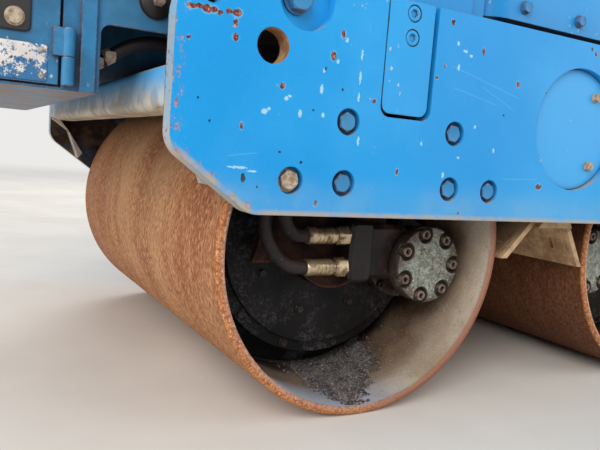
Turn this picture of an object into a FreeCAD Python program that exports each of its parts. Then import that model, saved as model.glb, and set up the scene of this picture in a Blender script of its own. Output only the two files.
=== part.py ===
import FreeCAD, Part
import math
import os

import Sketcher

# Hand-guided double drum road roller, millimetres.
# +X is the machine's front, +Y its left side, +Z up, the ground is z = 0.
# Lengths along X are measured from the middle between the two drums.  Each
# piece is then moved along X by SHIFT, so that the origin lies on the ground
# under the middle of the whole machine.

# Driving dimensions: alias, millimetres, what it is
SIZES = (
    ("drum_diameter", 400, "outer diameter of both drums"),
    ("drum_width", 700, "length of a drum"),
    ("drum_shell", 11, "thickness of the rolled drum shell"),
    ("drum_lip", 5, "rounding of the drum's outer edge"),
    ("drum_gap", 176, "gap between the two drums"),
    ("web_inset", 172, "depth of the open drum end"),
    ("web_thick", 14, "thickness of the drum's end disc"),
    ("hub_diameter", 116, "drum hub outer diameter"),
    ("hub_length", 60, "drum hub length"),
    ("hub_proud", 4, "how far the hub stands out of the web"),
    ("spindle_diameter", 60, "carrier spindle that the drum turns on"),
    ("spindle_end_gap", 6, "how far the spindle stops short of the hub's inner end"),
    ("running_play", 0.05, "radial play of a pin in its bore"),
    ("side_gap", 13, "gap between a drum's end and a side plate"),
    ("plate_thick", 22, "side plate thickness"),
    ("plate_overhang", 67, "how far a side plate reaches past the drum"),
    ("plate_lift", 44, "side plate lower edge above the axle"),
    ("plate_rim", 42, "side plate upper edge above the deck"),
    ("plate_cut_run", 85, "lower corner cut along the plate"),
    ("plate_cut_rise", 61, "lower corner cut height"),
    ("plate_cut_round", 30, "rounding at both ends of the lower corner cut"),
    ("plate_crown", 57, "radius of the upper plate corners"),
    ("recess_diameter", 28.5, "bolt recess diameter"),
    ("recess_depth", 9, "bolt recess depth"),
    ("slot_width", 70, "hose slot width"),
    ("slot_drop", 45, "hose slot lower end below the drum's top"),
    ("slot_round", 12, "hose slot corner radius"),
    ("cover_width", 62, "slot cover width"),
    ("cover_offset", 2.5, "slot cover centre from the axle"),
    ("cover_lift", 4, "slot cover lower end above the slot's"),
    ("cover_thick", 8, "slot cover thickness"),
    ("cover_screw", 19, "counterbore of the slot cover screws"),
    ("cover_screw_depth", 4, "counterbore depth"),
    ("cover_screw_low", 39, "lower slot cover screw below the plate's edge"),
    ("cover_screw_high", 13, "upper slot cover screw below the plate's edge"),
    ("lashing_place", 99, "lashing hole from the plate's end"),
    ("lashing_drop", 72, "lashing hole below the plate's upper edge"),
    ("lashing_diameter", 35, "lashing hole diameter"),
    ("pocket_place", 134, "large bolt pocket from the plate's end"),
    ("pocket_drop", 21, "large bolt pocket below the plate's upper edge"),
    ("pocket_diameter", 63, "large bolt pocket diameter"),
    ("pocket_depth", 14, "large bolt pocket depth"),
    ("eye_place", 34, "small plate eye from the plate's end"),
    ("eye_drop", 32, "small plate eye below the plate's upper edge"),
    ("eye_diameter", 22, "small plate eye diameter"),
    ("exciter_lift", 124, "vibrator shaft above the plate's lower edge"),
    ("exciter_recess", 160, "round recess over the vibrator shaft"),
    ("exciter_recess_depth", 14, "its depth"),
    ("exciter_bore", 110, "plate bore behind the recess"),
    ("exciter_cover_thick", 6, "round cover thickness"),
    ("exciter_cover_play", 1, "radial gap round the cover"),
    ("exciter_flange", 124, "vibrator housing flange diameter"),
    ("exciter_flange_thick", 16, "vibrator housing flange thickness"),
    ("exciter_tube", 104, "vibrator housing tube diameter"),
    ("exciter_drum", 120, "vibrator gear housing diameter"),
    ("exciter_drum_half", 80, "half length of the gear housing"),
    ("exciter_taper", 25, "length of the cone beside it"),
    ("seat_gap", 0.3, "gap left between seated curved faces"),
    ("beam_depth", 45, "crossbeam size along the machine"),
    ("beam_lift", 95, "crossbeam underside above the plate's lower edge"),
    ("beam_tall", 44, "crossbeam height"),
    ("beam_wall", 5, "crossbeam wall"),
    ("beam_round", 9, "crossbeam corner radius"),
    ("deck_clear", 32, "gap between drum and deck"),
    ("deck_thick", 8, "deck thickness"),
    ("deck_end_gap", 2, "gap between the deck's end and the crossbeam"),
    ("deck_lip", 28, "height of the folded deck ends"),
    ("lug_width", 20, "slot cover lug width"),
    ("lug_back", 14, "how far a lug stands on the deck"),
    ("lug_drop", 3.5, "lug top below the plate's upper edge"),
    ("spacer_long", 89, "carrier spacer length"),
    ("arm_thick", 12, "carrier arm thickness"),
    ("arm_gap", 4, "gap between the carrier arm and the motor"),
    ("spacer_diameter", 32, "carrier spacer diameter"),
    ("case_gap", 12, "gap between the drum's disc and the drive case"),
    ("case_thick", 36, "drive case thickness"),
    ("case_ring", 31, "gap between the drive case and the drum shell"),
    ("case_step", 8, "raised ring of the drive case"),
    ("case_rim", 16, "width of the drive case's lower rim"),
    ("boss_gap", 2, "gap between the boss and the motor flange, along"),
    ("motor_edge", 13, "gap between the motor seat and the drum shell, along"),
    ("motor_drop", 22, "motor axis below the axle"),
    ("motor_pad", 112, "motor seat and flange diameter"),
    ("motor_seat", 12, "how far the motor seat stands out of the drive case"),
    ("motor_flange_thick", 14, "motor flange thickness"),
    ("motor_body", 92, "motor housing diameter"),
    ("motor_cover", 100, "motor end cover diameter"),
    ("motor_long", 76, "motor housing length"),
    ("motor_cover_thick", 20, "motor end cover thickness"),
    ("scallop_diameter", 23, "bolt scallop in the end cover"),
    ("scallop_pitch", 84, "bolt circle of the end cover"),
    ("scallop_depth", 10, "bolt scallop depth"),
    ("motor_bolts", 7, "bolts of the end cover"),
    ("port_face", 8, "hose port face in front of the axle"),
    ("port_low", 46, "port block underside below the axle"),
    ("port_high", 32, "port block top above the axle"),
    ("port_middle", 62, "middle of the port block from the motor seat"),
    ("port_thick", 32, "port block thickness"),
    ("port_lower_hose", 27, "lower hose below the axle"),
    ("port_upper_hose", 12, "upper hose above the axle"),
    ("nut_across", 25, "hose nut over its corners"),
    ("nut_long", 14, "hose nut length"),
    ("ferrule_diameter", 21, "crimped ferrule diameter"),
    ("ferrule_neck", 16, "neck between nut and ferrule"),
    ("ferrule_start", 20, "ferrule start from the port face"),
    ("ferrule_end", 57, "ferrule end from the port face"),
    ("hose_diameter", 16, "hydraulic hose outer diameter"),
    ("hose_inset", 3, "middle of the hoses in the plate slot from the plate's inner face"),
    ("hose_window", 23, "middle of a hose over the slot's lower end where it straightens"),
    ("hose_notch", 4, "play of a hose in its deck notch"),
    ("hose_spread", 21, "hoses in the slot from the axle"),
    ("hose_turn", 26, "hoses above the deck where they turn inwards"),
    ("manifold_inset", 43, "hose manifold from the plate's inner face"),
    ("manifold_deep", 26, "hose manifold depth"),
    ("manifold_long", 66, "hose manifold length"),
    ("manifold_tall", 38, "hose manifold height"),
    ("scraper_low", 8, "lower edge of the middle scrapers below the axle"),
    ("scraper_gap", 6, "gap between scraper edge and drum"),
    ("scraper_top_half", 30, "half width of the scraper carrier's top"),
    ("scraper_top", 72, "scraper carrier top above the axle"),
    ("scraper_waist", 44, "where the scraper carrier starts to widen, above the axle"),
    ("scraper_plate", 8, "scraper carrier end plate thickness"),
    ("scraper_slot", 8, "slot hole in the scraper carrier"),
    ("scraper_slot_out", 15, "slot hole from the middle"),
    ("scraper_blade", 6, "scraper blade thickness across"),
    ("scraper_beam_tall", 24, "scraper beam height"),
    ("sprinkler_diameter", 17, "sprinkler pipe diameter"),
    ("sprinkler_drop", 11, "sprinkler pipe below the deck"),
    ("sprinkler_inset", 20, "sprinkler pipe end from the drum's end"),
    ("saddle_width", 24, "sprinkler saddle width"),
    ("rail_width", 20, "base rail width"),
    ("rail_inset", 73, "base rail centre from the hood wall"),
    ("rail_front_tall", 46, "base rail height under the tank"),
    ("rail_rear_tall", 60, "base rail height under the hood"),
    ("engine_long", 360, "engine block length"),
    ("engine_wide", 360, "engine block width"),
    ("engine_tall", 290, "engine block height"),
    ("engine_front_gap", 78, "gap between the engine block and the hood's front wall"),
    ("post_front", 178, "front face of the hinge frame"),
    ("post_rear", 152, "rear face of the hinge frame"),
    ("post_wide", 26, "hinge frame leg width"),
    ("post_inset", 17, "hinge frame outer face from the plate"),
    ("post_drop", 4, "hinge frame top below the hood walls' edge"),
    ("post_bar", 20, "hinge frame top bar height"),
    ("tank_gap", 4, "gap between hinge frame and tank or hood"),
    ("tank_inset", 55, "tank front face from the plate's end"),
    ("tank_side_gap", 5, "gap between the tank's side and the plate"),
    ("tank_tall", 320, "tank top above the deck"),
    ("tank_brow", 70, "height of the tank's sloping front"),
    ("tank_slope", 60, "run of the tank's sloping front"),
    ("tank_round", 28, "tank edge radius"),
    ("neck_place", 110, "filler neck from the tank's front face"),
    ("neck_diameter", 80, "filler neck diameter"),
    ("neck_tall", 14, "filler neck height"),
    ("cap_diameter", 96, "filler cap diameter"),
    ("cap_tall", 26, "filler cap height"),
    ("hood_inset", 155, "hood rear face from the plates' rear end"),
    ("hood_side_gap", 18, "gap between the hood's side and the plate"),
    ("hood_wall", 4, "hood sheet thickness"),
    ("hood_tall", 320, "upper edge of the hood walls above the deck"),
    ("hood_round", 40, "hood corner radius"),
    ("lid_gap", 1.5, "gap under the hood lid"),
    ("lid_tall", 96, "hood lid height"),
    ("lid_round", 26, "hood lid edge radius"),
    ("louvre_count", 6, "cooling slots in each hood side"),
    ("louvre_long", 190, "cooling slot length"),
    ("louvre_tall", 11, "cooling slot height"),
    ("louvre_step", 26, "distance between cooling slots"),
    ("louvre_place", 185, "middle of the cooling slots from the hood's rear face"),
    ("louvre_low", 135, "lowest cooling slot above the deck"),
    ("lid_hinge_lift", 12, "lid hinge above the hood walls' edge"),
    ("hinge_diameter", 16, "hinge barrel diameter"),
    ("hinge_pin", 8, "hinge pin diameter"),
    ("hinge_long", 26, "length of one hinge barrel"),
    ("hinge_play", 0.5, "end play between hinge barrels"),
    ("lid_hinge_out", 190, "lid hinge from the middle plane"),
    ("nose_gap", 2, "gap between the deck side of the crossbeam and the nose box's rear face"),
    ("nose_long", 244, "nose box length"),
    ("nose_inset", 53, "nose box side from the plate's inner face"),
    ("nose_wall", 4, "nose box sheet thickness"),
    ("nose_lift", 11, "nose box underside above the crossbeam's"),
    ("nose_tall", 290, "nose box height"),
    ("nose_brow", 80, "height of the nose box's sloping front"),
    ("nose_slope", 62, "run of the nose box's sloping front"),
    ("nose_round", 30, "nose box edge radius"),
    ("notch_start", 18, "rear edge of the nose box opening from the box's rear face"),
    ("notch_long", 74, "length of the nose box opening"),
    ("notch_lift", 34, "top of the nose box opening above the crossbeam"),
    ("notch_round", 10, "corner radius of the opening"),
    ("strip_gap", 5, "nose post from the opening"),
    ("strip_wide", 14, "nose post width"),
    ("strip_proud", 6, "how far the nose post stands out"),
    ("door_place", 38, "hinge edge of the nose door from the opening"),
    ("door_front_gap", 6, "free edge of the nose door from the nose's front"),
    ("door_lift", 4, "nose door lower edge above the nose's underside"),
    ("door_top_gap", 4, "nose door upper edge below the sloping front"),
    ("door_depth", 16, "nose door thickness over its folded edge"),
    ("door_wall", 3, "nose door sheet thickness"),
    ("door_proud", 3, "how far the door face stands out of the wall"),
    ("door_gap", 3, "gap round the nose door"),
    ("door_hinge_gap", 8, "nose door hinge from the door's edge"),
    ("door_hinge_diameter", 12, "nose door hinge barrel diameter"),
    ("latch_place", 25, "door latch from the hinge edge"),
    ("latch_long", 50, "door latch length"),
    ("latch_lift", 44, "door latch above the door's lower edge"),
    ("latch_tall", 40, "door latch height"),
    ("latch_proud", 7, "door latch thickness"),
    ("pipe_diameter", 14, "pipe inside the nose opening"),
    ("pipe_inset", 32, "pipe from the nose box's side"),
    ("pipe_lift", 28, "rear end of the pipe above the crossbeam"),
    ("pipe_level", 42, "level run of the pipe"),
    ("pipe_foot", 21, "front end of the pipe above the nose's underside"),
    ("exhaust_diameter", 46, "exhaust pipe diameter"),
    ("exhaust_flange", 84, "exhaust flange diameter"),
    ("exhaust_flange_thick", 8, "exhaust flange thickness"),
    ("exhaust_place", -190, "exhaust across the machine"),
    ("exhaust_lift", 250, "exhaust above the deck"),
    ("exhaust_out", 62, "exhaust bend from the hood"),
    ("exhaust_drop", 80, "exhaust end below its start"),
    ("exhaust_bend", 36, "exhaust bend radius"),
    ("hitch_reach", 57, "drawbar pivot behind the plates"),
    ("hitch_lift", 5, "drawbar pivot above the crossbeam"),
    ("hitch_inner", 176, "drawbar lug inner face"),
    ("hitch_lug", 12, "drawbar lug thickness"),
    ("hitch_plate", 8, "bracket back plate thickness"),
    ("hitch_round", 24, "lug radius round the pivot"),
    ("hitch_pin", 24, "drawbar pin diameter"),
    ("pin_head", 8, "drawbar pin beyond each lug"),
    ("buffer_out", 24, "rubber buffer length"),
    ("buffer_lift", 2, "rubber buffer underside above the crossbeam's"),
    ("buffer_tall", 20, "rubber buffer height"),
    ("buffer_wide", 30, "rubber buffer width"),
    ("heel_thick", 14, "heel block thickness"),
    ("pivot_tube", 42, "drawbar pivot tube diameter"),
    ("arm_place", 130, "drawbar arm from the middle plane"),
    ("arm_tube", 38, "drawbar arm tube diameter"),
    ("arm_run", 398, "drawbar arm bend behind the pivot"),
    ("arm_knee_high", 985, "drawbar grip height"),
    ("arm_bend", 120, "drawbar arm bend radius"),
    ("grip_run", 550, "drawbar grip behind the arm bend"),
    ("grip_half", 240, "half length of the grip bar"),
    ("grip_tube", 32, "grip bar diameter"),
    ("rubber_long", 85, "rubber grip length"),
    ("rubber_wall", 4, "rubber grip thickness"),
    ("rubber_play", 0.1, "radial play of the rubber grips"),
    ("console_run", 180, "console front face behind the arm bend"),
    ("console_long", 160, "console length"),
    ("console_half", 150, "half width of the console"),
    ("console_tall", 96, "console height at its front"),
    ("console_rear_tall", 62, "console height at its rear"),
    ("console_round", 12, "console edge radius"),
    ("lever_diameter", 12, "control lever diameter"),
    ("lever_tall", 90, "control lever length"),
    ("short_lever_tall", 45, "vibration lever length"),
    ("knob_diameter", 34, "control lever knob diameter"),
    ("lever_place", 65, "control levers behind the console's front face"),
    ("lever_out", 80, "travel lever from the middle plane"),
)

doc = FreeCAD.newDocument("RoadRoller")
sheet = doc.addObject("Spreadsheet::Sheet", "Sizes")
for row, (alias, number, meaning) in enumerate(SIZES, start=1):
    sheet.set(f"A{row}", meaning)
    sheet.set(f"B{row}", str(number))
    sheet.setAlias(f"B{row}", alias)
doc.recompute()


class Size:
    """A length worked out from the sheet: its expression and its value."""

    def __init__(self, text, value):
        self.text = text
        self.value = value

    def __add__(self, other):
        return join(self, "+", other, lambda a, b: a + b)

    def __sub__(self, other):
        return join(self, "-", other, lambda a, b: a - b)

    def __mul__(self, other):
        return join(self, "*", other, lambda a, b: a * b)

    def __truediv__(self, other):
        return join(self, "/", other, lambda a, b: a / b)

    def __neg__(self):
        return self * -1


def as_size(number):
    return number if isinstance(number, Size) else Size(f"({float(number)!r})", float(number))


def join(first, sign, second, rule):
    second = as_size(second)
    return Size(f"({first.text} {sign} {second.text})", rule(first.value, second.value))


def S(alias):
    return Size(f"Sizes.{alias}", float(getattr(sheet, alias)))


ZERO = as_size(0)
HALF_TURN = 180

# Places that several pieces share
DRUM_R = S("drum_diameter") / 2
DRUM_HALF = S("drum_width") / 2
BORE_R = DRUM_R - S("drum_shell")
AXLE = DRUM_R + S("drum_gap") / 2
WEB_OUT = DRUM_HALF - S("web_inset")
WEB_IN = WEB_OUT - S("web_thick")
HUB_OUT = WEB_OUT + S("hub_proud")
HUB_IN = HUB_OUT - S("hub_length")
PLATE_IN = DRUM_HALF + S("side_gap")
PLATE_OUT = PLATE_IN + S("plate_thick")
PLATE_END = AXLE + DRUM_R + S("plate_overhang")
PLATE_LOW = DRUM_R + S("plate_lift")
DECK_LOW = S("drum_diameter") + S("deck_clear")
DECK_TOP = DECK_LOW + S("deck_thick")
PLATE_HIGH = DECK_TOP + S("plate_rim")
SLOT_LOW = S("drum_diameter") - S("slot_drop")
COVER_LOW = SLOT_LOW + S("cover_lift")
LASHING_PLACE = PLATE_END - S("lashing_place")
LASHING_HIGH = PLATE_HIGH - S("lashing_drop")
POCKET_PLACE = PLATE_END - S("pocket_place")
POCKET_HIGH = PLATE_HIGH - S("pocket_drop")
EYE_PLACE = PLATE_END - S("eye_place")
EYE_HIGH = PLATE_HIGH - S("eye_drop")
EXCITER_HIGH = PLATE_LOW + S("exciter_lift")
BEAM_LOW = PLATE_LOW + S("beam_lift")
BEAM_HIGH = BEAM_LOW + S("beam_tall")
BEAM_IN = PLATE_END - S("beam_depth")
DECK_END = BEAM_IN - S("deck_end_gap")
ARM_IN = PLATE_IN - S("spacer_long") - S("arm_thick")
ARM_OUT = ARM_IN + S("arm_thick")
CASE_IN = WEB_OUT + S("case_gap")
CASE_OUT = CASE_IN + S("case_thick")
CASE_R = BORE_R - S("case_ring")
MOTOR_BACK = BORE_R - S("motor_pad") / 2 - S("motor_edge")
BOSS_R = MOTOR_BACK - S("motor_pad") / 2 - S("boss_gap")
MOTOR_SEAT = CASE_OUT + S("motor_seat")
MOTOR_BACK_END = MOTOR_SEAT + S("motor_long")
MOTOR_FACE = MOTOR_BACK_END + S("motor_cover_thick")
MOTOR_Z = DRUM_R - S("motor_drop")
PORT_FACE = AXLE + S("port_face")
PORT_LOW = DRUM_R - S("port_low")
PORT_HIGH = DRUM_R + S("port_high")
PORT_MIDDLE = MOTOR_SEAT + S("port_middle")
HOSE_PLANE = PLATE_IN + S("hose_inset")
HOSE_TURN = DECK_TOP + S("hose_turn")
MANIFOLD_OUT = PLATE_IN - S("manifold_inset")
SCRAPER_LOW = DRUM_R - S("scraper_low")
SCRAPER_TOP = DRUM_R + S("scraper_top")
SCRAPER_WAIST = DRUM_R + S("scraper_waist")
SPRINKLER_HIGH = DECK_LOW - S("sprinkler_drop")
SPRINKLER_HALF = DRUM_HALF - S("sprinkler_inset")
TANK_FRONT = PLATE_END - S("tank_inset")
TANK_HALF = PLATE_IN - S("tank_side_gap")
TANK_HIGH = DECK_TOP + S("tank_tall")
TANK_BROW = TANK_HIGH - S("tank_brow")
NECK_PLACE = TANK_FRONT - S("neck_place")
TANK_REAR = S("post_front") + S("tank_gap")
TANK_LOW = DECK_TOP + S("rail_front_tall")
HOOD_REAR = S("hood_inset") - PLATE_END
HOOD_HALF = PLATE_IN - S("hood_side_gap")
HOOD_HIGH = DECK_TOP + S("hood_tall")
HOOD_FRONT = S("post_rear") - S("tank_gap")
HOOD_LOW = DECK_TOP + S("rail_rear_tall")
LID_LOW = HOOD_HIGH + S("lid_gap")
RAIL_PLACE = HOOD_HALF - S("rail_inset")
ENGINE_PLACE = HOOD_FRONT - S("engine_front_gap") - S("engine_long") / 2
POST_OUT = PLATE_IN - S("post_inset")
POST_HIGH = HOOD_HIGH - S("post_drop")
LOUVRE_PLACE = HOOD_REAR + S("louvre_place")
LOUVRE_LOW = DECK_TOP + S("louvre_low")
LID_HINGE_HIGH = HOOD_HIGH + S("lid_hinge_lift")
LID_HINGE = (S("post_rear") + S("post_front")) / 2
NOSE_REAR = BEAM_IN + S("nose_gap")
NOSE_FRONT = NOSE_REAR + S("nose_long")
NOSE_HALF = PLATE_IN - S("nose_inset")
NOSE_LOW = BEAM_LOW + S("nose_lift")
NOSE_HIGH = NOSE_LOW + S("nose_tall")
NOSE_BROW = NOSE_HIGH - S("nose_brow")
NOTCH_REAR = NOSE_REAR + S("notch_start")
NOTCH_FRONT = NOTCH_REAR + S("notch_long")
NOTCH_HIGH = BEAM_HIGH + S("notch_lift")
STRIP_START = NOTCH_FRONT + S("strip_gap")
STRIP_END = STRIP_START + S("strip_wide")
DOOR_START = NOTCH_FRONT + S("door_place")
DOOR_END = NOSE_FRONT - S("door_front_gap")
DOOR_LOW = NOSE_LOW + S("door_lift")
DOOR_HIGH = NOSE_BROW - S("door_top_gap")
DOOR_HINGE = DOOR_START - S("door_hinge_gap")
LATCH_START = DOOR_START + S("latch_place")
LATCH_END = LATCH_START + S("latch_long")
LATCH_LOW = DOOR_LOW + S("latch_lift")
LATCH_HIGH = LATCH_LOW + S("latch_tall")
EXHAUST_HIGH = DECK_TOP + S("exhaust_lift")
HITCH_PLACE = -(PLATE_END + S("hitch_reach"))
HITCH_HIGH = BEAM_HIGH + S("hitch_lift")
BUFFER_LOW = BEAM_LOW + S("buffer_lift")
KNEE_PLACE = HITCH_PLACE - S("arm_run")
GRIP_PLACE = KNEE_PLACE - S("grip_run")
CONSOLE_FRONT = KNEE_PLACE - S("console_run")
CONSOLE_REAR = CONSOLE_FRONT - S("console_long")
LEVER_PLACE = CONSOLE_FRONT - S("lever_place")
GRIP_R = S("grip_tube") / 2
SHIFT = (GRIP_R + S("rubber_wall") - GRIP_PLACE - NOSE_FRONT) / 2

# Carrier bolts: along and up from the axle, in bore radii
CARRIER_BOLTS = (
    (0.73, 0.423),
    (0.3915, 0.423),
    (0.3915, 0.767),
)

# Carrier arm outline: along and up from the axle, in bore radii.  The side
# towards the motor follows the motor's place.
ARM_OUTLINE = (
    (0.646, -0.132),
    (0.561, 0.159),
    (0.794, 0.328),
    (0.794, 0.508),
    (0.423, 0.82),
    (-0.423, 0.82),
    (-0.794, 0.508),
    (-0.794, 0.328),
)
ARM_SHOULDER = 0.238
ARM_FOOT = -0.132

# Hose routes: along from the axle, inwards from the hoses' plane in the
# plate slot, up from the axle.  The last points, in the slot and over the
# deck, follow the sheet.
UPPER_ROUTE = (
    (83, 66, 12),
    (101, 57, 28),
    (107, 46, 54),
    (104, 36, 82),
    (92, 30, 103),
    (69, 25, 114),
    (44, 20, 130),
    (26, 18, 148),
)
LOWER_ROUTE = (
    (84, 66, -27),
    (106, 70, -12),
    (119, 72, 16),
    (119, 70, 46),
    (111, 65, 80),
    (96, 58, 106),
    (64, 50, 118),
    (24, 42, 120),
    (-7, 29, 133),
    (-21, 18, 148),
)

# Share of the shorter run that an arc takes up, and of a half width that
# the rounding of a slot or lug takes up
ARC_SHARE = 0.45
ROUND_SHARE = 0.9

pieces = []


def new_body(label):
    body = doc.addObject("PartDesign::Body", label)
    body.Label = label
    body.AllowCompound = True
    body.setExpression("Placement.Base.x", SHIFT.text)
    pieces.append(body)
    return body


# How a sketch lies on each plane: its normal's sign along the third axis
NORMAL = {"XY": 1, "XZ": -1, "YZ": 1}


def new_sketch(body, plane, level, origin=(ZERO, ZERO)):
    """A sketch at a level along the plane's third axis, with its own origin."""
    made = body.newObject("Sketcher::SketchObject", f"{body.Label}_sketch")
    base = next(f for f in body.Origin.OriginFeatures if f.Role == f"{plane}_Plane")
    made.AttachmentSupport = (base, "")
    made.MapMode = "FlatFace"
    places = (origin[0], origin[1], as_size(level) * NORMAL[plane])
    for axis, place in zip("xyz", places):
        made.setExpression(f"AttachmentOffset.Base.{axis}", as_size(place).text)
    return made


def bind(sketch, kind, *place, size):
    size = as_size(size)
    index = sketch.addConstraint(Sketcher.Constraint(kind, *place, size.value))
    sketch.setExpression(f"Constraints[{index}]", size.text)


def fix_point(sketch, edge, point, u, v):
    for kind, axis, size in (("DistanceX", -2, as_size(u)), ("DistanceY", -1, as_size(v))):
        if size.value == 0:
            sketch.addConstraint(Sketcher.Constraint("PointOnObject", edge, point, axis))
        else:
            bind(sketch, kind, -1, 1, edge, point, size=size)


def draw_arc(sketch, centre, radius, first, last):
    """The shorter arc between two points, and which of its ends is which."""
    angles = [math.atan2(p.y - centre.y, p.x - centre.x) for p in (first, last)]
    ends = (1, 2)
    if (first - centre).cross(last - centre).z < 0:
        angles.reverse()
        ends = (2, 1)
    if angles[1] < angles[0]:
        angles[1] += 2 * math.pi
    circle = Part.Circle(centre, FreeCAD.Vector(0, 0, 1), radius)
    return sketch.addGeometry(Part.ArcOfCircle(circle, *angles), False), ends


def draw_polygon(sketch, corners):
    """A closed outline; a corner is (u, v) or (u, v, radius)."""
    count = len(corners)
    spots = [FreeCAD.Vector(as_size(c[0]).value, as_size(c[1]).value, 0) for c in corners]
    radii = [as_size(c[2]) if len(c) > 2 else None for c in corners]
    cuts = []
    for i, spot in enumerate(spots):
        if radii[i] is None:
            cuts.append((spot, spot))
            continue
        back = (spots[i - 1] - spot).normalize()
        ahead = (spots[(i + 1) % count] - spot).normalize()
        reach = radii[i].value / math.tan(back.getAngle(ahead) / 2)
        cuts.append((spot + back * reach, spot + ahead * reach))
    lines = []
    for i in range(count):
        line = Part.LineSegment(cuts[i][1], cuts[(i + 1) % count][0])
        lines.append(sketch.addGeometry(line, False))
    for i in range(count):
        before, after = lines[i - 1], lines[i]
        if radii[i] is None:
            sketch.addConstraint(Sketcher.Constraint("Coincident", before, 2, after, 1))
            fix_point(sketch, after, 1, corners[i][0], corners[i][1])
            continue
        back = (cuts[i][0] - spots[i]).normalize()
        ahead = (cuts[i][1] - spots[i]).normalize()
        middle = (back + ahead).normalize()
        half = back.getAngle(ahead) / 2
        centre = spots[i] + middle * (radii[i].value / math.sin(half))
        bend, ends = draw_arc(sketch, centre, radii[i].value, *cuts[i])
        sketch.addConstraint(Sketcher.Constraint("Tangent", before, 2, bend, ends[0]))
        sketch.addConstraint(Sketcher.Constraint("Tangent", bend, ends[1], after, 1))
        bind(sketch, "Radius", bend, size=radii[i])
        tip = sketch.addGeometry(Part.Point(spots[i]), True)
        sketch.addConstraint(Sketcher.Constraint("PointOnObject", tip, 1, before))
        sketch.addConstraint(Sketcher.Constraint("PointOnObject", tip, 1, after))
        fix_point(sketch, tip, 1, corners[i][0], corners[i][1])


def draw_circle(sketch, u, v, radius):
    radius = as_size(radius)
    centre = FreeCAD.Vector(as_size(u).value, as_size(v).value, 0)
    edge = sketch.addGeometry(Part.Circle(centre, FreeCAD.Vector(0, 0, 1), radius.value), False)
    fix_point(sketch, edge, 3, u, v)
    bind(sketch, "Radius", edge, size=radius)


def draw(sketch, shapes):
    """Circles are (u, v, radius); anything longer is an outline."""
    for shape in shapes:
        if isinstance(shape, tuple):
            draw_circle(sketch, *shape)
        else:
            draw_polygon(sketch, shape)
    sketch.Visibility = False


def ordered(first, second):
    first, second = as_size(first), as_size(second)
    return (first, second) if first.value < second.value else (second, first)


def pad(body, plane, first, second, shapes, origin=(ZERO, ZERO)):
    low, high = ordered(first, second)
    start = low if NORMAL[plane] > 0 else high
    sketch = new_sketch(body, plane, start, origin)
    draw(sketch, shapes)
    made = body.newObject("PartDesign::Pad", f"{body.Label}_pad")
    made.Profile = sketch
    made.setExpression("Length", (high - low).text)
    body.Tip = made
    return made


def pocket(body, plane, first, second, shapes, origin=(ZERO, ZERO)):
    low, high = ordered(first, second)
    start = high if NORMAL[plane] > 0 else low
    doc.recompute()
    volume = body.Shape.Volume
    sketch = new_sketch(body, plane, start, origin)
    draw(sketch, shapes)
    made = body.newObject("PartDesign::Pocket", f"{body.Label}_pocket")
    made.Profile = sketch
    made.setExpression("Length", (high - low).text)
    body.Tip = made
    doc.recompute()
    if not body.Shape.Volume < volume:
        raise RuntimeError(f"a pocket of {body.Label} cuts nothing")
    return made


def revolve(body, outline, across=None, along=None):
    """Turn an outline of (place, radius) about a line along Y or along X."""
    if across is not None:
        sketch = new_sketch(body, "YZ", across[0], (ZERO, across[1]))
    else:
        sketch = new_sketch(body, "XZ", along[0], (ZERO, along[1]))
    draw_polygon(sketch, outline)
    sketch.Visibility = False
    made = body.newObject("PartDesign::Revolution", f"{body.Label}_turn")
    made.Profile = sketch
    made.ReferenceAxis = (sketch, ["H_Axis"])
    made.Angle = 360
    body.Tip = made
    return made


def stand(body, x, y, outline):
    """Turn an outline of (radius, height) about an upright line."""
    sketch = new_sketch(body, "XZ", y, (x, ZERO))
    draw_polygon(sketch, outline)
    sketch.Visibility = False
    made = body.newObject("PartDesign::Revolution", f"{body.Label}_turn")
    made.Profile = sketch
    made.ReferenceAxis = (sketch, ["V_Axis"])
    made.Angle = 360
    body.Tip = made
    return made


def box(u0, u1, v0, v1, radius=None):
    """A rectangle as an outline, its corners rounded on request."""
    tail = () if radius is None else (radius,)
    return [(u0, v0) + tail, (u1, v0) + tail, (u1, v1) + tail, (u0, v1) + tail]


def round_edges(body, radius, wanted):
    """Round the edges of the body's tip that the test picks."""
    doc.recompute()
    base = body.Tip
    names = [f"Edge{i}" for i, edge in enumerate(base.Shape.Edges, start=1) if wanted(edge)]
    made = body.newObject("PartDesign::Fillet", f"{body.Label}_round")
    made.Base = (base, names)
    made.setExpression("Radius", as_size(radius).text)
    body.Tip = made
    return made


def hollow(body, wall, wanted):
    """Shell the body's tip inwards, open at the face that the test picks."""
    doc.recompute()
    base = body.Tip
    names = [f"Face{i}" for i, face in enumerate(base.Shape.Faces, start=1) if wanted(face)]
    made = body.newObject("PartDesign::Thickness", f"{body.Label}_shell")
    made.Base = (base, names)
    made.Reversed = True
    made.setExpression("Value", as_size(wall).text)
    body.Tip = made
    return made


def at_height(edge, height):
    return all(abs(v.Z - height.value) < 1e-4 for v in edge.Vertexes)


def bend_path(points, radius=None):
    """Straight runs joined by tangent arcs, as one wire, and the arcs' radii.

    Without a radius, each arc is as large as its shorter run allows.
    """
    edges = []
    radii = []
    start = points[0]
    for before, corner, after in zip(points, points[1:], points[2:]):
        back = before - corner
        ahead = after - corner
        half = (HALF_TURN - math.degrees(back.getAngle(ahead))) / 2
        slope = math.tan(math.radians(half))
        bend = radius if radius else ARC_SHARE * min(back.Length, ahead.Length) / slope
        reach = bend * slope
        back.normalize()
        ahead.normalize()
        middle = (back + ahead).normalize()
        first = corner + back * reach
        last = corner + ahead * reach
        depth = bend / math.cos(math.radians(half)) - bend
        edges.append(Part.LineSegment(start, first).toShape())
        edges.append(Part.Arc(first, corner + middle * depth, last).toShape())
        radii.append(bend)
        start = last
    edges.append(Part.LineSegment(start, points[-1]).toShape())
    return Part.Wire(edges), radii


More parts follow.
